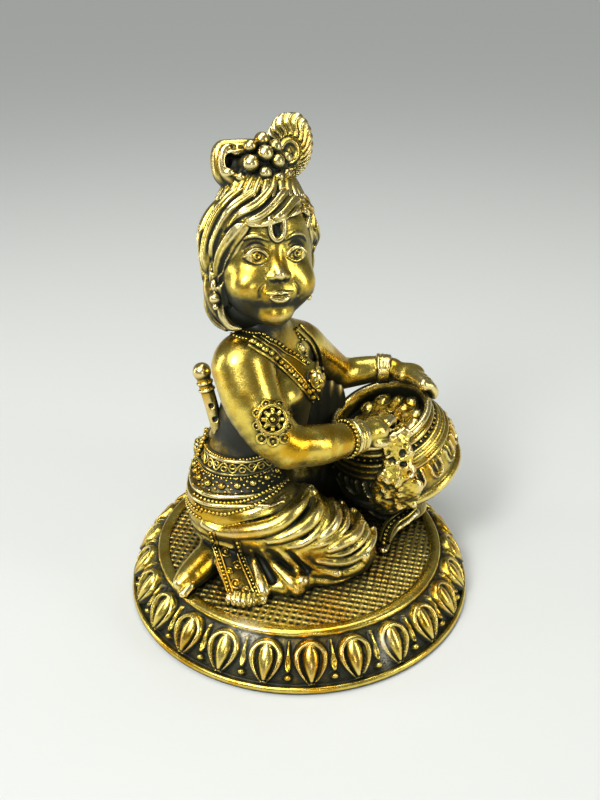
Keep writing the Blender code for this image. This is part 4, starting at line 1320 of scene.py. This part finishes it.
def model_eyes(clay):
    """Almond eyes with an upper lid that rests on the iris."""
    for side in (-1, 1):
        upper, lower, crease = (np.array(line) * (side, 1) for line in (UPPER_LID, LOWER_LID, LID_CREASE))
        middle = (4.95 * side, -0.35)
        iris = pixel_circle(middle, 1.1, 16)
        clay.cut(cord(on_face(clay, iris), 0.24, 1, True), 0.1)
        clay.cut(ball(on_face(clay, [middle])[0], 0.5), 0.1)
        clay.cut(face_line(clay, crease, 0.26), 0.3)
        clay.add(face_line(clay, upper, 0.55, 0.2), 0.12)
        clay.add(face_line(clay, lower, 0.36, 0.08), 0.15)


def model_mouth(clay):
    """A closed, gently smiling mouth."""
    clay.cut(head_ball(0, -7.5, 13.9, (0.5, 1.0, 0.8)), 0.9)
    clay.add(head_ball(0, -9.8, 10.9, (3.9, 2.4, 2.2)), 1.6)
    upper = [(-3.1, -9.1), (-1.8, -9.25), (-0.6, -9.05), (0, -9.25), (0.6, -9.05), (1.8, -9.25), (3.1, -9.1)]
    lower = [(-2.5, -10.0), (-1.3, -10.6), (0, -10.8), (1.3, -10.6), (2.5, -10.0)]
    parting = [(-3.7, -9.0), (-2.0, -9.75), (0, -9.95), (2.0, -9.75), (3.7, -9.0)]
    clay.add(face_line(clay, upper, 0.5, 0.1), 0.35)
    clay.add(face_line(clay, lower, 0.72, 0.05), 0.35)
    clay.cut(face_line(clay, parting, 0.26, 0.3), 0.12)
    clay.cut(head_ball(0, -12.6, 12.6, (1.9, 0.45, 0.6)), 0.9)
    for side in (-1, 1):
        cheek = [(4.0 * side, -7.0), (4.9 * side, -8.4), (4.9 * side, -10.0)]
        clay.cut(face_line(clay, cheek, 0.24), 0.7)


# Hair, swept from the crown in layered locks, and the topknot.

CROWN = np.array((1.5, 17.0, 0.6))
LOCK_START = 16.8
# The locks' layers: how many, how far out, their radius, how much shorter, and degrees to one side.
LOCK_LAYERS = ((21, 0.2, 2.3, 0.0, 0.0), (15, 1.2, 1.9, 2.4, 9.0))
# The topknot's pearls: right, up, out and radius.
PEARLS = [
    (-0.2, 26.0, 5.6, 1.95),
    (-3.2, 24.6, 6.0, 1.65),
    (2.6, 24.4, 6.6, 1.65),
    (-0.3, 22.9, 7.8, 1.95),
    (-3.7, 20.8, 7.2, 2.05),
    (2.7, 21.1, 7.4, 1.75),
    (-0.5, 18.6, 7.6, 1.65),
    (5.4, 18.2, 6.0, 1.2),
    (-5.9, 17.8, 5.4, 1.2),
    (3.0, 17.6, 7.4, 1.1),
    (6.0, 22.0, 4.6, 1.4),
]


def hair_point(turn, up, grow):
    """A point round the head; turn 0 is out of the face and 90 degrees is the viewer's right."""
    middle = 2.8
    if up > middle:
        share = math.sqrt(max(0.02, 1 - ((up - middle) / 15.2) ** 2))
    else:
        share = float(np.interp(up, (-20, -12, -6, middle), (0.72, 0.85, 0.99, 1)))
    depth = 13.5 + 2.1 * max(0, math.cos(turn))
    return (
        (13.5 * share + grow) * math.sin(turn),
        up,
        -1.8 + (depth * share + grow) * math.cos(turn),
    )


def lock(turn, end, sweep, grow, radius, wave):
    """One lock, from near the crown to its pointed, curling end."""
    stations = []
    for t in np.linspace(0, 1, 9):
        up = LOCK_START + (end - LOCK_START) * t**1.12
        curl = 0.12 * math.sin(5.8 * t + wave) + 0.14 * max(0, t - 0.75) * math.sin(wave)
        lift = grow * math.sin(math.pi * min(1, 0.15 + t * 0.95) ** 0.9) - 3.0 * max(0, t - 0.84)
        point = np.array(hair_point(turn - sweep * (1 - t) ** 1.2 + curl, up, lift))
        if t < 0.3:
            point = CROWN + (point - CROWN) * (0.5 + 0.5 * t / 0.3)
        stations.append((*point, radius * (0.55 + 0.55 * math.sin(math.pi * (0.12 + 0.70 * t)))))
    stations[-1] = (*stations[-1][:3], radius * (0.3 if abs(turn) < 1.0 else 0.6))
    return np.array(stations)


def lock_end(turn):
    """How low the hair hangs at a turn, in degrees, from the fringe round to the nape."""
    left = {-180: -19.5, -140: -19.5, -105: -19.0, -92: -17.0, -80: -10.5, -62: -7.5, -52: 3.0, -36: 6.6}
    right = {0: 7.6, 20: 7.8, 32: 8.8, 50: 6.6, 66: 2.0, 90: -5.0, 120: -14.0, 150: -18.0, 180: -19.5}
    ends = left | right
    return float(np.interp(turn, list(ends), list(ends.values())))


def lock_sweep(turn):
    """How far to the right of its end a lock starts, in degrees."""
    sweeps = {-180: 0, -125: 12, -95: 44, -30: 52, 0: 40, 30: 26, 60: 8, 90: -4, 180: 0}
    return float(np.interp(turn, list(sweeps), list(sweeps.values())))


# Long locks of the front: turn in degrees, height, and the lock's radius.
FRONT_LOCKS = [
    ([(30, 9.8), (12, 9.0), (-8, 8.5), (-28, 8.3), (-46, 7.6), (-58, 5.4)], 1.25),
    ([(54, 15.2), (42, 13.4), (28, 11.6), (12, 10.0), (-4, 8.8)], 1.7),
    ([(44, 16.4), (28, 14.8), (10, 12.6), (-8, 10.4), (-24, 8.6), (-34, 7.8)], 1.9),
    ([(34, 17.2), (12, 15.8), (-8, 13.6), (-26, 11.0), (-42, 8.4), (-54, 5.8)], 2.1),
    ([(20, 17.6), (-6, 16.6), (-26, 14.4), (-44, 11.4), (-58, 7.8), (-68, 3.4), (-72, -0.6)], 2.2),
    ([(2, 17.6), (-28, 16.6), (-48, 14.0), (-64, 10.2), (-76, 5.4), (-84, 0.0), (-88, -5.6)], 2.3),
    ([(56, 15.6), (66, 12.6), (72, 9.4), (78, 5.6), (86, 1.4), (92, -3.0)], 2.1),
    ([(46, 15.6), (54, 13.0), (60, 10.6), (64, 8.0), (68, 5.2)], 1.7),
    ([(36, 14.4), (42, 12.4), (48, 10.8), (50, 9.0)], 1.3),
]
# Curls behind the near ear, as right, up, out and radius.
EAR_CURLS = [
    [(-13.4, -3.6, -2, 1.3), (-14, -8.4, -2.6, 1.8), (-12.9, -13, -2.8, 1.9), (-11, -16.6, -1.2, 0.9)],
    [(-12.8, -8.8, -5.4, 1.4), (-13.2, -13.2, -5.8, 2), (-11.8, -17, -4.6, 1.7), (-9.6, -19, -2.4, 0.8)],
    [(-11.8, -12.0, 0.4, 1.1), (-11.3, -15.4, 0.4, 1.5), (-9.6, -18.0, 1.4, 1.3), (-7.6, -18.4, 2.6, 0.7)],
]
FRONT_GROW = 1.0


def front_lock(pairs, radius, wave):
    route = spline(pairs, 3)
    share = np.linspace(0, 1, len(route))
    swing = 5.0 * np.sin(share * 10.5 + wave) * np.clip(share * 3, 0, 1)
    stations = []
    for t, (turn, up), side in zip(share, route, swing):
        thick = radius * (0.35 + 0.75 * math.sin(math.pi * (0.10 + 0.76 * t)))
        lift = FRONT_GROW + 0.35 * math.sin(t * 12 + wave) - 1.2 * max(0, t - 0.85) / 0.15
        stations.append((*hair_point(math.radians(turn + 0.4 * side), up + 0.14 * side, lift), thick))
    stations[-1] = (*stations[-1][:3], radius * 0.25)
    return np.array(stations)


def model_hair():
    clay = Clay(*BLOCKS["hair"])
    mould(clay, HAIR_MASS)
    for count, grow, radius, short, offset in LOCK_LAYERS:
        for k in range(count):
            degrees = -180 + 360 * (k + 0.5) / count + offset + RNG.uniform(-3.0, 3.0)
            degrees = (degrees + 180) % 360 - 180
            if grow > 1 and abs(degrees) < 60:
                continue
            end = lock_end(degrees) + short + RNG.uniform(-0.8, 1.0)
            sweep = math.radians(lock_sweep(degrees))
            thick, wave = radius * RNG.uniform(0.9, 1.12), RNG.uniform(0, math.tau)
            strands(clay, lock(math.radians(degrees), end, -sweep, grow, thick, wave))
    for k, (pairs, radius) in enumerate(FRONT_LOCKS):
        strands(clay, front_lock(pairs, radius, 1.9 * k))
    for curl in EAR_CURLS:
        strands(clay, spline(curl, 3))
    return clay


STRANDS = ((-0.74, -0.46), (-0.27, 0.04), (0.22, 0.12), (0.70, -0.36))


def strands(clay, stations):
    """Thin tubes side by side along a lock, the middle ones proud, in a shallow trench."""
    place = on_head(stations)
    along = np.gradient(place[:, :3], axis=0)
    out = place[:, :3] - on_head((0, 1.0, -2.5))
    across = np.cross(along, out)
    across /= length(across)[:, None]
    outward = out / length(out)[:, None]
    trench = place[2:-1].copy()
    trench[:, :3] += outward[2:-1] * 0.45 * stations[2:-1, 3:4]
    trench[:, 3] *= 1.1
    clay.cut(limb(trench, 2), 0.3)
    body = place.copy()
    body[:, :3] -= outward * 0.50 * stations[:, 3:4]
    body[:, 3] *= 0.78
    clay.add(limb(body, 2), 0.12)
    for side, lift in STRANDS:
        tube = place.copy()
        tube[:, :3] += across * side * stations[:, 3:4] + outward * lift * stations[:, 3:4]
        tube[:, 3] *= 0.29
        clay.add(limb(tube, 3), 0.10)


LOOP = [
    (-0.6, 25.2), (-3.6, 25.3), (-7.0, 25.2), (-9.3, 24.9), (-10.1, 23.0), (-10.2, 20.6), (-9.7, 18.4),
    (-8.0, 16.4),
]
RISING_STRANDS = 28
LOOP_MIDDLE = (-5.6, 20.8)
LOOP_TUBES = ((-2.2, 0.86, 1.3), (-0.2, 0.96, 1.4), (1.9, 1.0, 1.45), (3.9, 0.86, 1.1), (4.6, 0.60, 0.8))


def model_topknot():
    clay = Clay(*BLOCKS["topknot"])
    clay.add(head_ball(0.4, 20.6, 1.8, (6.8, 6.2, 5.2)), 0.5)
    clay.add(head_ball(-5.8, 20.6, 0.2, (3.8, 4.4, 2.8)), 0.8)
    middle = np.array(LOOP_MIDDLE)
    for out, size, radius in LOOP_TUBES:
        ring = middle + (np.array(LOOP) - middle) * size
        clay.add(limb(on_head(np.column_stack([ring, np.full((len(ring), 2), (out, radius))]))), 0.15)
    clay.cut(head_ball(-7.9, 21.4, 5.4, (1.25, 1.9, 3.6)), 0.4)
    clay.cut(head_ball(-7.0, 24.9, 5.2, (0.8, 1.0, 1.2)), 0.3)
    clay.add(head_ball(-8.4, 18.9, 4.4, (1.3, 1.2, 1.2)), 0.2)
    clay.add(head_ball(0.2, 16.8, 0.8, (8.0, 3.4, 6.6)), 0.8)
    for turn in around(RISING_STRANDS):
        foot = (0.4 + 10.4 * math.sin(turn), 13.2, 0.2 + 9.4 * math.cos(turn), 0.7)
        rise = (0.4 + 8.2 * math.sin(turn + 0.14), 16.6, 0.8 + 6.8 * math.cos(turn + 0.14), 0.95)
        over = (0.4 + 6.2 * math.sin(turn + 0.34), 19.6, 1.4 + 4.9 * math.cos(turn + 0.34), 0.7)
        clay.add(limb(on_head([foot, rise, over])), 0.15)
    for right, up, out, radius in PEARLS:
        clay.add(head_ball(right, up, out, (radius,) * 3), 0.12)
    return clay


FEATHER_CENTRE = (7.7, 25.0, 2.3)
FEATHER_LEAN = math.radians(12)


def model_feather():
    """A peacock feather with raised barbs that fan from its eye."""
    axes = HEAD_AXES @ turn_about((0, 0, 1), -FEATHER_LEAN)
    centre = on_head(FEATHER_CENTRE)
    clay = Clay(*BLOCKS["feather"])
    clay.add(ball(centre, (6.1, 8.0, 1.15), axes), 0.2)
    clay.add(ball(centre - axes[:, 1] * 5.6, (1.6, 4.4, 1.3), axes), 0.6)

    def relief(points):
        q = (points - centre) @ axes
        x, y = q[..., 0], q[..., 1] + 1.6
        reach = np.hypot(x, y * 0.85)
        rings = np.cos(np.clip(reach, 0, 3.2) / 3.2 * math.tau * 1.5) * 0.28
        fan = np.arctan2(x, y + 4.2) + 0.05 * np.sin(reach * 1.3)
        barbs = np.abs(np.sin(fan * 19)) * 0.62 - 0.42
        barbs = barbs * np.clip((reach - 3.1) / 0.5, 0, 1)
        edge = np.clip(1 - np.hypot(q[..., 0] / 6.1, q[..., 1] / 8.0), 0, 1)
        return np.where(reach < 3.2, rings, barbs * np.clip(0.35 + edge * 4, 0, 1))

    clay.emboss(relief)
    return clay


# The pot and its butter.

POT_CENTRE = np.array((28.0, 14.0, 22.0))
POT_AXIS = unit((-0.323, -0.158, 0.933))
POT_FRONT = unit(np.array((0, -1, 0)) + POT_AXIS[1] * POT_AXIS)
POT_AXES = np.column_stack([np.cross(POT_AXIS, POT_FRONT), POT_FRONT, POT_AXIS])
GADROONS = 17
GADROON_HALF = 1.95
GADROON_BEND = 0.4
# Radius and height of the pot's outline, from under its foot round the rim to the inside's floor.
POT_OUTLINE = [
    (0, -14.8), (8.0, -14.8), (12.6, -13.0), (16.2, -9.6), (17.6, -8.0), (18.7, -7.5), (19.3, -6.6),
    (19.3, -5.8), (18.9, -4.9), (18.2, -4.5), (18.7, -1.0), (18.3, 3.0), (17.8, 4.3), (18.2, 4.9),
    (18.1, 5.6), (17.3, 6.1), (17.6, 6.8), (17.2, 7.6), (16.4, 7.7), (16.7, 8.4), (16.2, 9.1),
    (15.1, 9.1), (14.5, 9.9), (15.1, 10.5), (15.3, 11.2), (15.0, 11.9), (14.3, 12.3), (14.7, 12.9),
    (15.2, 13.7), (14.9, 14.6), (14.2, 15.0), (13.4, 14.7), (13.0, 13.2), (12.8, 9.0), (0, 8.4),
]


def on_pot(along, radius, turn):
    """A point round the pot's axis; turn 0 is towards the viewer, and positive to the right."""
    return POT_CENTRE + POT_AXES @ np.array((radius * math.sin(turn), radius * math.cos(turn), along))


def pot_relief(radius, height, turn):
    """U shapes round the belly, each a raised rim with a rib inside."""
    sector = math.tau / GADROONS
    across = ((turn / sector) % 1 - 0.5) * sector * radius
    reach = np.hypot(across, np.minimum(height - GADROON_BEND, 0))
    rim = np.exp(-(((reach - GADROON_HALF) / 0.48) ** 2))
    rib = np.exp(-((across / 0.42) ** 2)) * np.exp(-(((height - 1.6) / 2.2) ** 4))
    inside = -0.3 * (reach < GADROON_HALF)
    zone = np.clip((4.2 - height) / 0.5, 0, 1) * np.clip((height + 4.4) / 0.5, 0, 1) * (radius > 14)
    return zone * (np.maximum(rim, 0.8 * rib) + inside)


def model_pot():
    clay = Clay(*BLOCKS["pot"])
    clay.add(turned(POT_CENTRE, POT_AXES, POT_OUTLINE, pot_relief), 0.2)
    foot = POT_CENTRE + (2.0, 1.0, 0)
    stand = [(0, 0.0), (9.6, 0.0), (9.8, 1.2), (9.2, 2.2), (8.4, 6.0), (0, 7.0)]
    clay.add(turned(np.array((foot[0], foot[1], 0.0)), np.eye(3), stand), 0.6)
    beads = [([on_pot(9.7, 15.0, turn) for turn in around(48)], 0.5)]
    beads.append(([on_pot(-8.6, 17.2, turn) for turn in around(56)], 0.42))
    return clay, beads


# The drip down the pot's front: height along the pot's axis, reach from it, half width and middle's turn.
DRIP_ALONG = (-7.0, -5.0, 0.0, 5.0, 8.0, 12.0, 14.5, 15.2)
DRIP_REACH = (18.2, 18.8, 18.9, 18.4, 16.6, 15.4, 14.8, 13.2)
DRIP_HALF = (4.4, 6.0, 6.4, 4.4, 2.8, 2.8, 3.0, 3.0)
DRIP_TURN = (-0.14, -0.13, -0.12, -0.02, 0.05, 0.12, 0.18, 0.22)


def drip_at(along):
    """The drip's reach from the pot's axis, half width and middle turn at a height."""
    return [float(np.interp(along, DRIP_ALONG, row)) for row in (DRIP_REACH, DRIP_HALF, DRIP_TURN)]


def model_butter():
    """Butter heaped in the mouth and foaming over the rim down the front."""
    clay = Clay(*BLOCKS["butter"])
    for _ in range(80):
        turn, reach = RNG.uniform(0, math.tau), 11.8 * math.sqrt(RNG.uniform(0, 1))
        size = RNG.uniform(1.1, 2.9)
        along = 9.9 + 0.8 * math.cos(turn - 1.4) + RNG.uniform(-0.5, 0.9)
        place = on_pot(min(along, 12.8 - size * 0.6), min(reach, 12.3 - size), turn)
        clay.add(ball(place, (size, size, size * 0.75), POT_AXES), 0.4)
    for along in np.linspace(-6.4, 14.8, 16):
        surface, half, turn = drip_at(along)
        clay.add(ball(on_pot(along, surface - 0.6, turn), (half * 0.95, 1.1, 1.7), POT_AXES), 0.5)
    for _ in range(105):
        along = RNG.uniform(-7.0, 15.2)
        surface, half, middle = drip_at(along)
        turn = middle + RNG.uniform(-1, 1) * half / surface
        size = RNG.uniform(1.5, 2.7)
        clay.add(ball(on_pot(along, surface - 0.5, turn), (size, size * 0.58, size), POT_AXES), 1.0)
    bumps, pits = (clay.add, 26, 0.8, 0.8, 1.4), (clay.cut, 18, 1.5, 0.5, 0.9)
    for maker, count, proud, low_size, high_size in (bumps, pits):
        for _ in range(count):
            along = RNG.uniform(-7, 13)
            surface, half, middle = drip_at(along)
            surface += proud
            turn = middle + RNG.uniform(-1, 1) * half / surface
            maker(ball(on_pot(along, surface, turn), RNG.uniform(low_size, high_size)), 0.6)

    def froth(points):
        x, y, z = points[..., 0], points[..., 1], points[..., 2]
        return 0.10 * np.sin(x * 2.3 + 1.3 * np.sin(z * 1.7)) * np.sin(z * 3.1 + np.sin(y * 2.7))

    clay.emboss(froth)
    return clay


# The base: the petals in rows of points, and the meshed field.

PETAL_WIDEST = 0.38
PETAL_SHARE = 0.80


def petal_half(t):
    """Half the petal's width as a share of half its sector; t runs from its round top to its tip."""
    rising = PETAL_SHARE * np.sqrt(np.clip(1 - (1 - t / PETAL_WIDEST) ** 2, 0, 1))
    falling = PETAL_SHARE * np.cos(np.clip((t - PETAL_WIDEST) / (1 - PETAL_WIDEST), 0, 1) * 1.49)
    return np.where(t < PETAL_WIDEST, rising, falling)


def bump(x, width):
    """A round ridge's height, 1 at the middle and 0 from the width on."""
    return np.sqrt(np.clip(1 - (x / width) ** 2, 0, 1))


def petal_height(turn, t):
    """Relief of a sector: a rib round a middle one, and half a dart at each side; turn runs from -1 to 1."""
    x = np.abs(turn)
    half = petal_half(t)
    top = np.hypot(x / PETAL_SHARE, (t - PETAL_WIDEST) / PETAL_WIDEST)
    place = np.where(t < PETAL_WIDEST, top, x / half.clip(0.03))
    side = bump(place - 0.79, 0.21) * np.clip((1 - t) / 0.03, 0, 1)
    crown = np.sqrt(1 - np.clip((0.28 - t) / 0.18, 0, 1) ** 2)
    middle = bump(x, np.clip(half * 0.51 * crown, 0.02, 0.41)) * ((t > 0.10) & (t < 0.92)) * 0.95
    foot = bump(np.hypot(x * 3.4, (t - 0.955) * 12), 0.46) * 0.7
    y = 1 - x
    share = np.clip((t - 0.05) / 0.66, 0, 1)
    drop = bump(y, 0.02 + 0.19 * share**0.8 * np.sqrt(1 - share**6)) * ((t > 0.05) & (t < 0.71)) * 0.85
    slot = bump(np.hypot(y * 11, (t - 0.5) * 6), 0.9) * 0.4
    bead = bump(np.hypot(y / 0.20, (t - 0.83) / 0.095), 1) * 0.85
    return np.maximum.reduce([side, middle, foot, drop - slot, bead])


def base_rows():
    """Rows of t, radius, height, the normal's two parts and the relief's share, from ring to underside."""
    ring_in = RING_RADIUS - RING_WIDTH
    rows = []
    ring = [
        (ring_in + 0.05, BASE_HEIGHT - 1.2),
        (ring_in + 0.3, BASE_HEIGHT - 0.35),
        (ring_in + 0.9, BASE_HEIGHT - 0.08),
        (ring_in + 1.7, BASE_HEIGHT),
        (ring_in + 2.5, BASE_HEIGHT - 0.06),
        (ring_in + 3.1, BASE_HEIGHT - 0.35),
        (RING_RADIUS, BASE_HEIGHT - 0.8),
        (RING_RADIUS + 0.1, BASE_HEIGHT - 1.3),
    ]
    for radius, height in spline(ring, 3):
        rows.append((0.0, radius, height, 0.0, 1.0, 0.0))
    top = np.array((RING_RADIUS + 0.3, BASE_HEIGHT - RING_DROP))
    foot = np.array((RIM_RADIUS - LIP_WIDTH, LIP_HEIGHT))
    normal = unit((top[1] - foot[1], foot[0] - top[0]))
    for t in np.linspace(0, 1, 52):
        ground = top + (foot - top) * t + normal * (1.1 * math.sin(math.pi * t) - 0.55)
        rows.append((t, *ground, *normal, 1.0))
    lip = [
        (RIM_RADIUS - 1.5, LIP_HEIGHT - 0.35),
        (RIM_RADIUS - 1.0, LIP_HEIGHT),
        (RIM_RADIUS - 0.4, LIP_HEIGHT - 0.2),
        (RIM_RADIUS - 0.06, LIP_HEIGHT * 0.5),
        (RIM_RADIUS - 0.3, 0.45),
        (RIM_RADIUS - 0.9, 0.05),
    ]
    for radius, height in spline(lip, 3):
        rows.append((1.0, radius, height, 1.0, 0.0, 0.0))
    rows.append((1.0, RIM_RADIUS * 0.5, 0.02, 0.0, -1.0, 0.0))
    rows.append((1.0, 0.3, 0.02, 0.0, -1.0, 0.0))
    return np.array(rows)


def ground_noise(x, y, z, size):
    """Smooth bumps of no direction; a larger size number makes them smaller."""
    x, y, z = x * size, y * size, z * size
    return np.sin(x + 1.7 * np.sin(y * 0.8)) * np.sin(y * 1.1 + z + 1.3 * np.sin(x * 0.7))


# Whitish residue: a place, its reach and a strength.
BARE_SPOTS = [((-13.5, -37.5), 4.2, 0.55), ((21.8, -40.6), 1.5, 0.9)]


def make_petals():
    rows = base_rows()
    columns = PETAL_COUNT * 36
    angle = around(columns)
    turn = (angle * PETAL_COUNT / math.tau + 0.5) % 1 * 2 - 1
    t, radius, height, out, up, share = (rows[:, k][:, None] for k in range(6))
    relief = petal_height(turn[None], t) * share
    lift = relief * (PETAL_RELIEF + 0.5)
    x, y = radius * np.cos(angle), radius * np.sin(angle)
    pits = ground_noise(x, y, height, 5.3) * 0.07 * share * (relief < 0.15)
    lift = lift + pits
    x, y, z = (radius + out * lift) * np.cos(angle), (radius + out * lift) * np.sin(angle), height + up * lift
    vertices = np.stack([x, y, z + 0 * x], -1).reshape(-1, 3) - TO_SEAT
    index = np.arange(len(rows) * columns).reshape(len(rows), columns)
    ahead = np.roll(index, -1, axis=1)
    quads = np.stack([index[:-1], index[1:], ahead[1:], ahead[:-1]], -1).reshape(-1, 4)
    smooth_band = (share < 0.5) * 0.12 + 0 * x
    openness = np.where(share > 0.5, relief * 0.55 - 0.33, smooth_band)
    bare = np.zeros_like(x)
    for (cx, cy), size, strength in BARE_SPOTS:
        bare = np.maximum(bare, strength * np.exp(-(((x - cx) ** 2 + (y - cy) ** 2) / size**2)))
    values = {"openness": openness.ravel(), "bare": bare.ravel()}
    add_piece("base_petals", BASE, BASE_GOLD, vertices, quads, values)


def make_field():
    """Raised lines crossing over round holes, inside the ring; the holes are shallow dips, painted dark as
    painted shade.
    """
    reach = RING_RADIUS - RING_WIDTH + 0.25
    step = 0.30
    line = np.arange(-reach, reach + step, step)
    u, v = np.meshgrid(line, line, indexing="ij")
    wobble = 0.10 * np.sin(u * 0.9 + 0.7 * np.sin(v * 0.6)), 0.10 * np.sin(v * 0.8 + 0.9 * np.sin(u * 0.5))
    a, b = (u + wobble[0]) / MESH_PITCH % 1 - 0.5, (v + wobble[1]) / MESH_PITCH % 1 - 0.5
    hole = 1 - np.clip((np.hypot(a, b) * MESH_PITCH - 0.38) / 0.42, 0, 1)
    hole = hole * hole * (3 - 2 * hole)
    knot = np.exp(-((np.hypot(np.abs(a) - 0.5, np.abs(b) - 0.5) / 0.20) ** 2))
    z = 0.02 - MESH_DEPTH * hole + 0.16 * knot + 0.04 * ground_noise(u, v, 0 * u, 2.3)
    cos, sin = math.cos(MESH_TURN), math.sin(MESH_TURN)
    x, y = u * cos - v * sin, u * sin + v * cos
    inside = np.hypot(x, y) < reach
    index = np.full(x.shape, -1)
    index[inside] = np.arange(inside.sum())
    quads = np.stack([index[:-1, :-1], index[1:, :-1], index[1:, 1:], index[:-1, 1:]], -1).reshape(-1, 4)
    quads = quads[(quads >= 0).all(1)]
    vertices = np.stack([x, y, z], -1)[inside]
    # Painted shade: low openness in the holes makes them dark, as if they were deep.
    openness = (0.16 - hole * 0.75 + 0.18 * knot)[inside]
    add_piece("base_field", BASE, FIELD_GOLD, vertices, quads, {"openness": openness})


# Putting it together.

# Painted shade laid on where shade falls: the neck under the chin, behind and between the arms, the waist,
# the pot's side against the body, its lower half and near the base; a centre, its three reaches and a
# strength.
BODY_PAINTED_SHADE = [
    ((-19, -9, 41), (9, 9, 10), 1.1),
    ((-12, -14, 34), (10, 8, 9), 0.7),
    ((-11, -6, 69), (10, 9, 6), 0.8),
    ((1, -8, 47), (6, 6, 8), 0.55),
    ((-22, 8, 44), (9, 9, 12), 0.35),
    ((-6, -20, 41), (10, 5, 3), 0.35),
]
DRESS_PAINTED_SHADE = [
    ((-16, -1, 30.6), (30, 30, 5.6), 0.86),
    ((-18, -19, 5.5), (6, 10, 5), 0.45),
    ((0, 0, -1.5), (60, 60, 4.0), 0.35),
    ((12, 4, 8), (12, 12, 12), 0.7),
]
FLUTE_PAINTED_SHADE = [((-21, -5, 34), (6, 6, 14), 0.4)]
HEAD_PAINTED_SHADE = [
    ((-9, -2, 70), (12, 12, 7), 0.6),
    ((-18, -8, 80), (5, 6, 9), 0.35),
    ((-9, 6, 96), (16, 12, 14), 0.8),
]
HAIR_PAINTED_SHADE = [((-20, -4, 76), (9, 12, 9), 0.45), ((-9, 10, 86), (16, 8, 16), 0.2)]
POT_PAINTED_SHADE = [((16, 2, 18), (10, 12, 12), 0.65), ((28, 12, 5), (22, 22, 8), 0.5)]


def make_figure():
    body, near, far = model_body()
    beads, cords = dress_chest(body)
    beads += bracelet_beads(near, far)
    add_clay("body", body, FIGURE_GOLD, BODY_PAINTED_SHADE)
    add_cords("body_cords", cords, FIGURE_GOLD)
    add_beads("body_beads", beads, FIGURE_GOLD)
    dress, dress_beads, dress_cords = model_dress()
    add_clay("dress", dress, CLOTH_GOLD, DRESS_PAINTED_SHADE)
    add_cords("dress_cords", dress_cords, CLOTH_GOLD)
    add_clay("recessed_cloth", model_wall(), RECESSED_CLOTH_SHADE)
    add_beads("dress_beads", dress_beads, CLOTH_GOLD)
    add_clay("flute", model_flute(), FIGURE_GOLD, FLUTE_PAINTED_SHADE)
    add_clay("head", model_head(), HEAD_GOLD, HEAD_PAINTED_SHADE)
    add_clay("hair", model_hair(), HAIR_GOLD, HAIR_PAINTED_SHADE)
    add_clay("topknot", model_topknot(), HAIR_GOLD)
    add_clay("feather", model_feather(), FEATHER_GOLD)
    pot, pot_beads = model_pot()
    add_clay("pot", pot, FIGURE_GOLD, POT_PAINTED_SHADE)
    add_beads("pot_beads", pot_beads, FIGURE_GOLD)
    add_clay("butter", model_butter(), FIGURE_GOLD)


def plain_material(name, colour, roughness):
    n = Nodes(name)
    n.feed(n.shader.inputs["Base Color"], colour)
    n.feed(n.shader.inputs["Roughness"], roughness)
    return n.material


def make_stage():
    half = 4.0
    corners = [(-half, -half, 0), (half, -half, 0), (half, half, 0), (-half, half, 0)]
    mesh = bpy.data.meshes.new("floor")
    mesh.from_pydata(corners, [], [(0, 1, 2, 3)])
    floor = bpy.data.objects.new("floor", mesh)
    bpy.context.scene.collection.objects.link(floor)
    mesh.materials.append(plain_material("pale_floor", (0.71, 0.73, 0.70), 0.75))


# Softboxes: place, size, watts and colour.
SOFTBOXES = {
    "key": ((-0.30, -0.40, 0.50), (0.16, 0.24), 2.2, (1, 1, 1)),
    "top": ((0.04, 0.10, 0.60), (0.26, 0.30), 1.0, (1, 1, 1)),
    "right": ((0.50, -0.22, 0.24), (0.10, 0.34), 0.8, (1.0, 0.97, 0.90)),
    "left": ((-0.50, 0.02, 0.16), (0.07, 0.34), 0.5, (1, 1, 1)),
    "front": ((0.10, -0.62, 0.20), (0.10, 0.10), 0.25, (1, 1, 1)),
}
AIM = (0.0, 0.0, 0.06)


def add_softbox(name, place, size, watts, colour):
    light = bpy.data.lights.new(name, "AREA")
    light.shape = "RECTANGLE"
    light.size, light.size_y = size
    light.energy = watts
    light.color = colour
    lamp = bpy.data.objects.new(name, light)
    lamp.location = place
    lamp.rotation_euler = (Vector(AIM) - Vector(place)).to_track_quat("-Z", "Y").to_euler()
    bpy.context.scene.collection.objects.link(lamp)


def light_and_view():
    for name, light in SOFTBOXES.items():
        add_softbox(name, *light)
    sun = bpy.data.lights.new("sky", "SUN")
    sun.energy = 1.45
    sun.angle = math.radians(50)
    sky = bpy.data.objects.new("sky", sun)
    sky.rotation_euler = (math.radians(28), math.radians(-24), 0)
    bpy.context.scene.collection.objects.link(sky)
    world = bpy.data.worlds.new("studio")
    world.use_nodes = True
    world.node_tree.nodes["Background"].inputs["Color"].default_value = (0.80, 0.84, 0.80, 1)
    world.node_tree.nodes["Background"].inputs["Strength"].default_value = 0.17
    scene = bpy.context.scene
    scene.world = world
    camera = bpy.data.cameras.new("camera")
    camera.lens = LENS
    camera.sensor_width = 36
    camera.clip_start = 0.01
    camera.clip_end = 20
    seen = bpy.data.objects.new("camera", camera)
    seen.location = CAMERA_PLACE * MM
    seen.rotation_euler = (CAMERA_PITCH, 0, CAMERA_YAW)
    scene.collection.objects.link(seen)
    scene.camera = seen
    scene.view_settings.view_transform = "Standard"


make_petals()
make_field()
make_figure()
make_stage()
light_and_view()
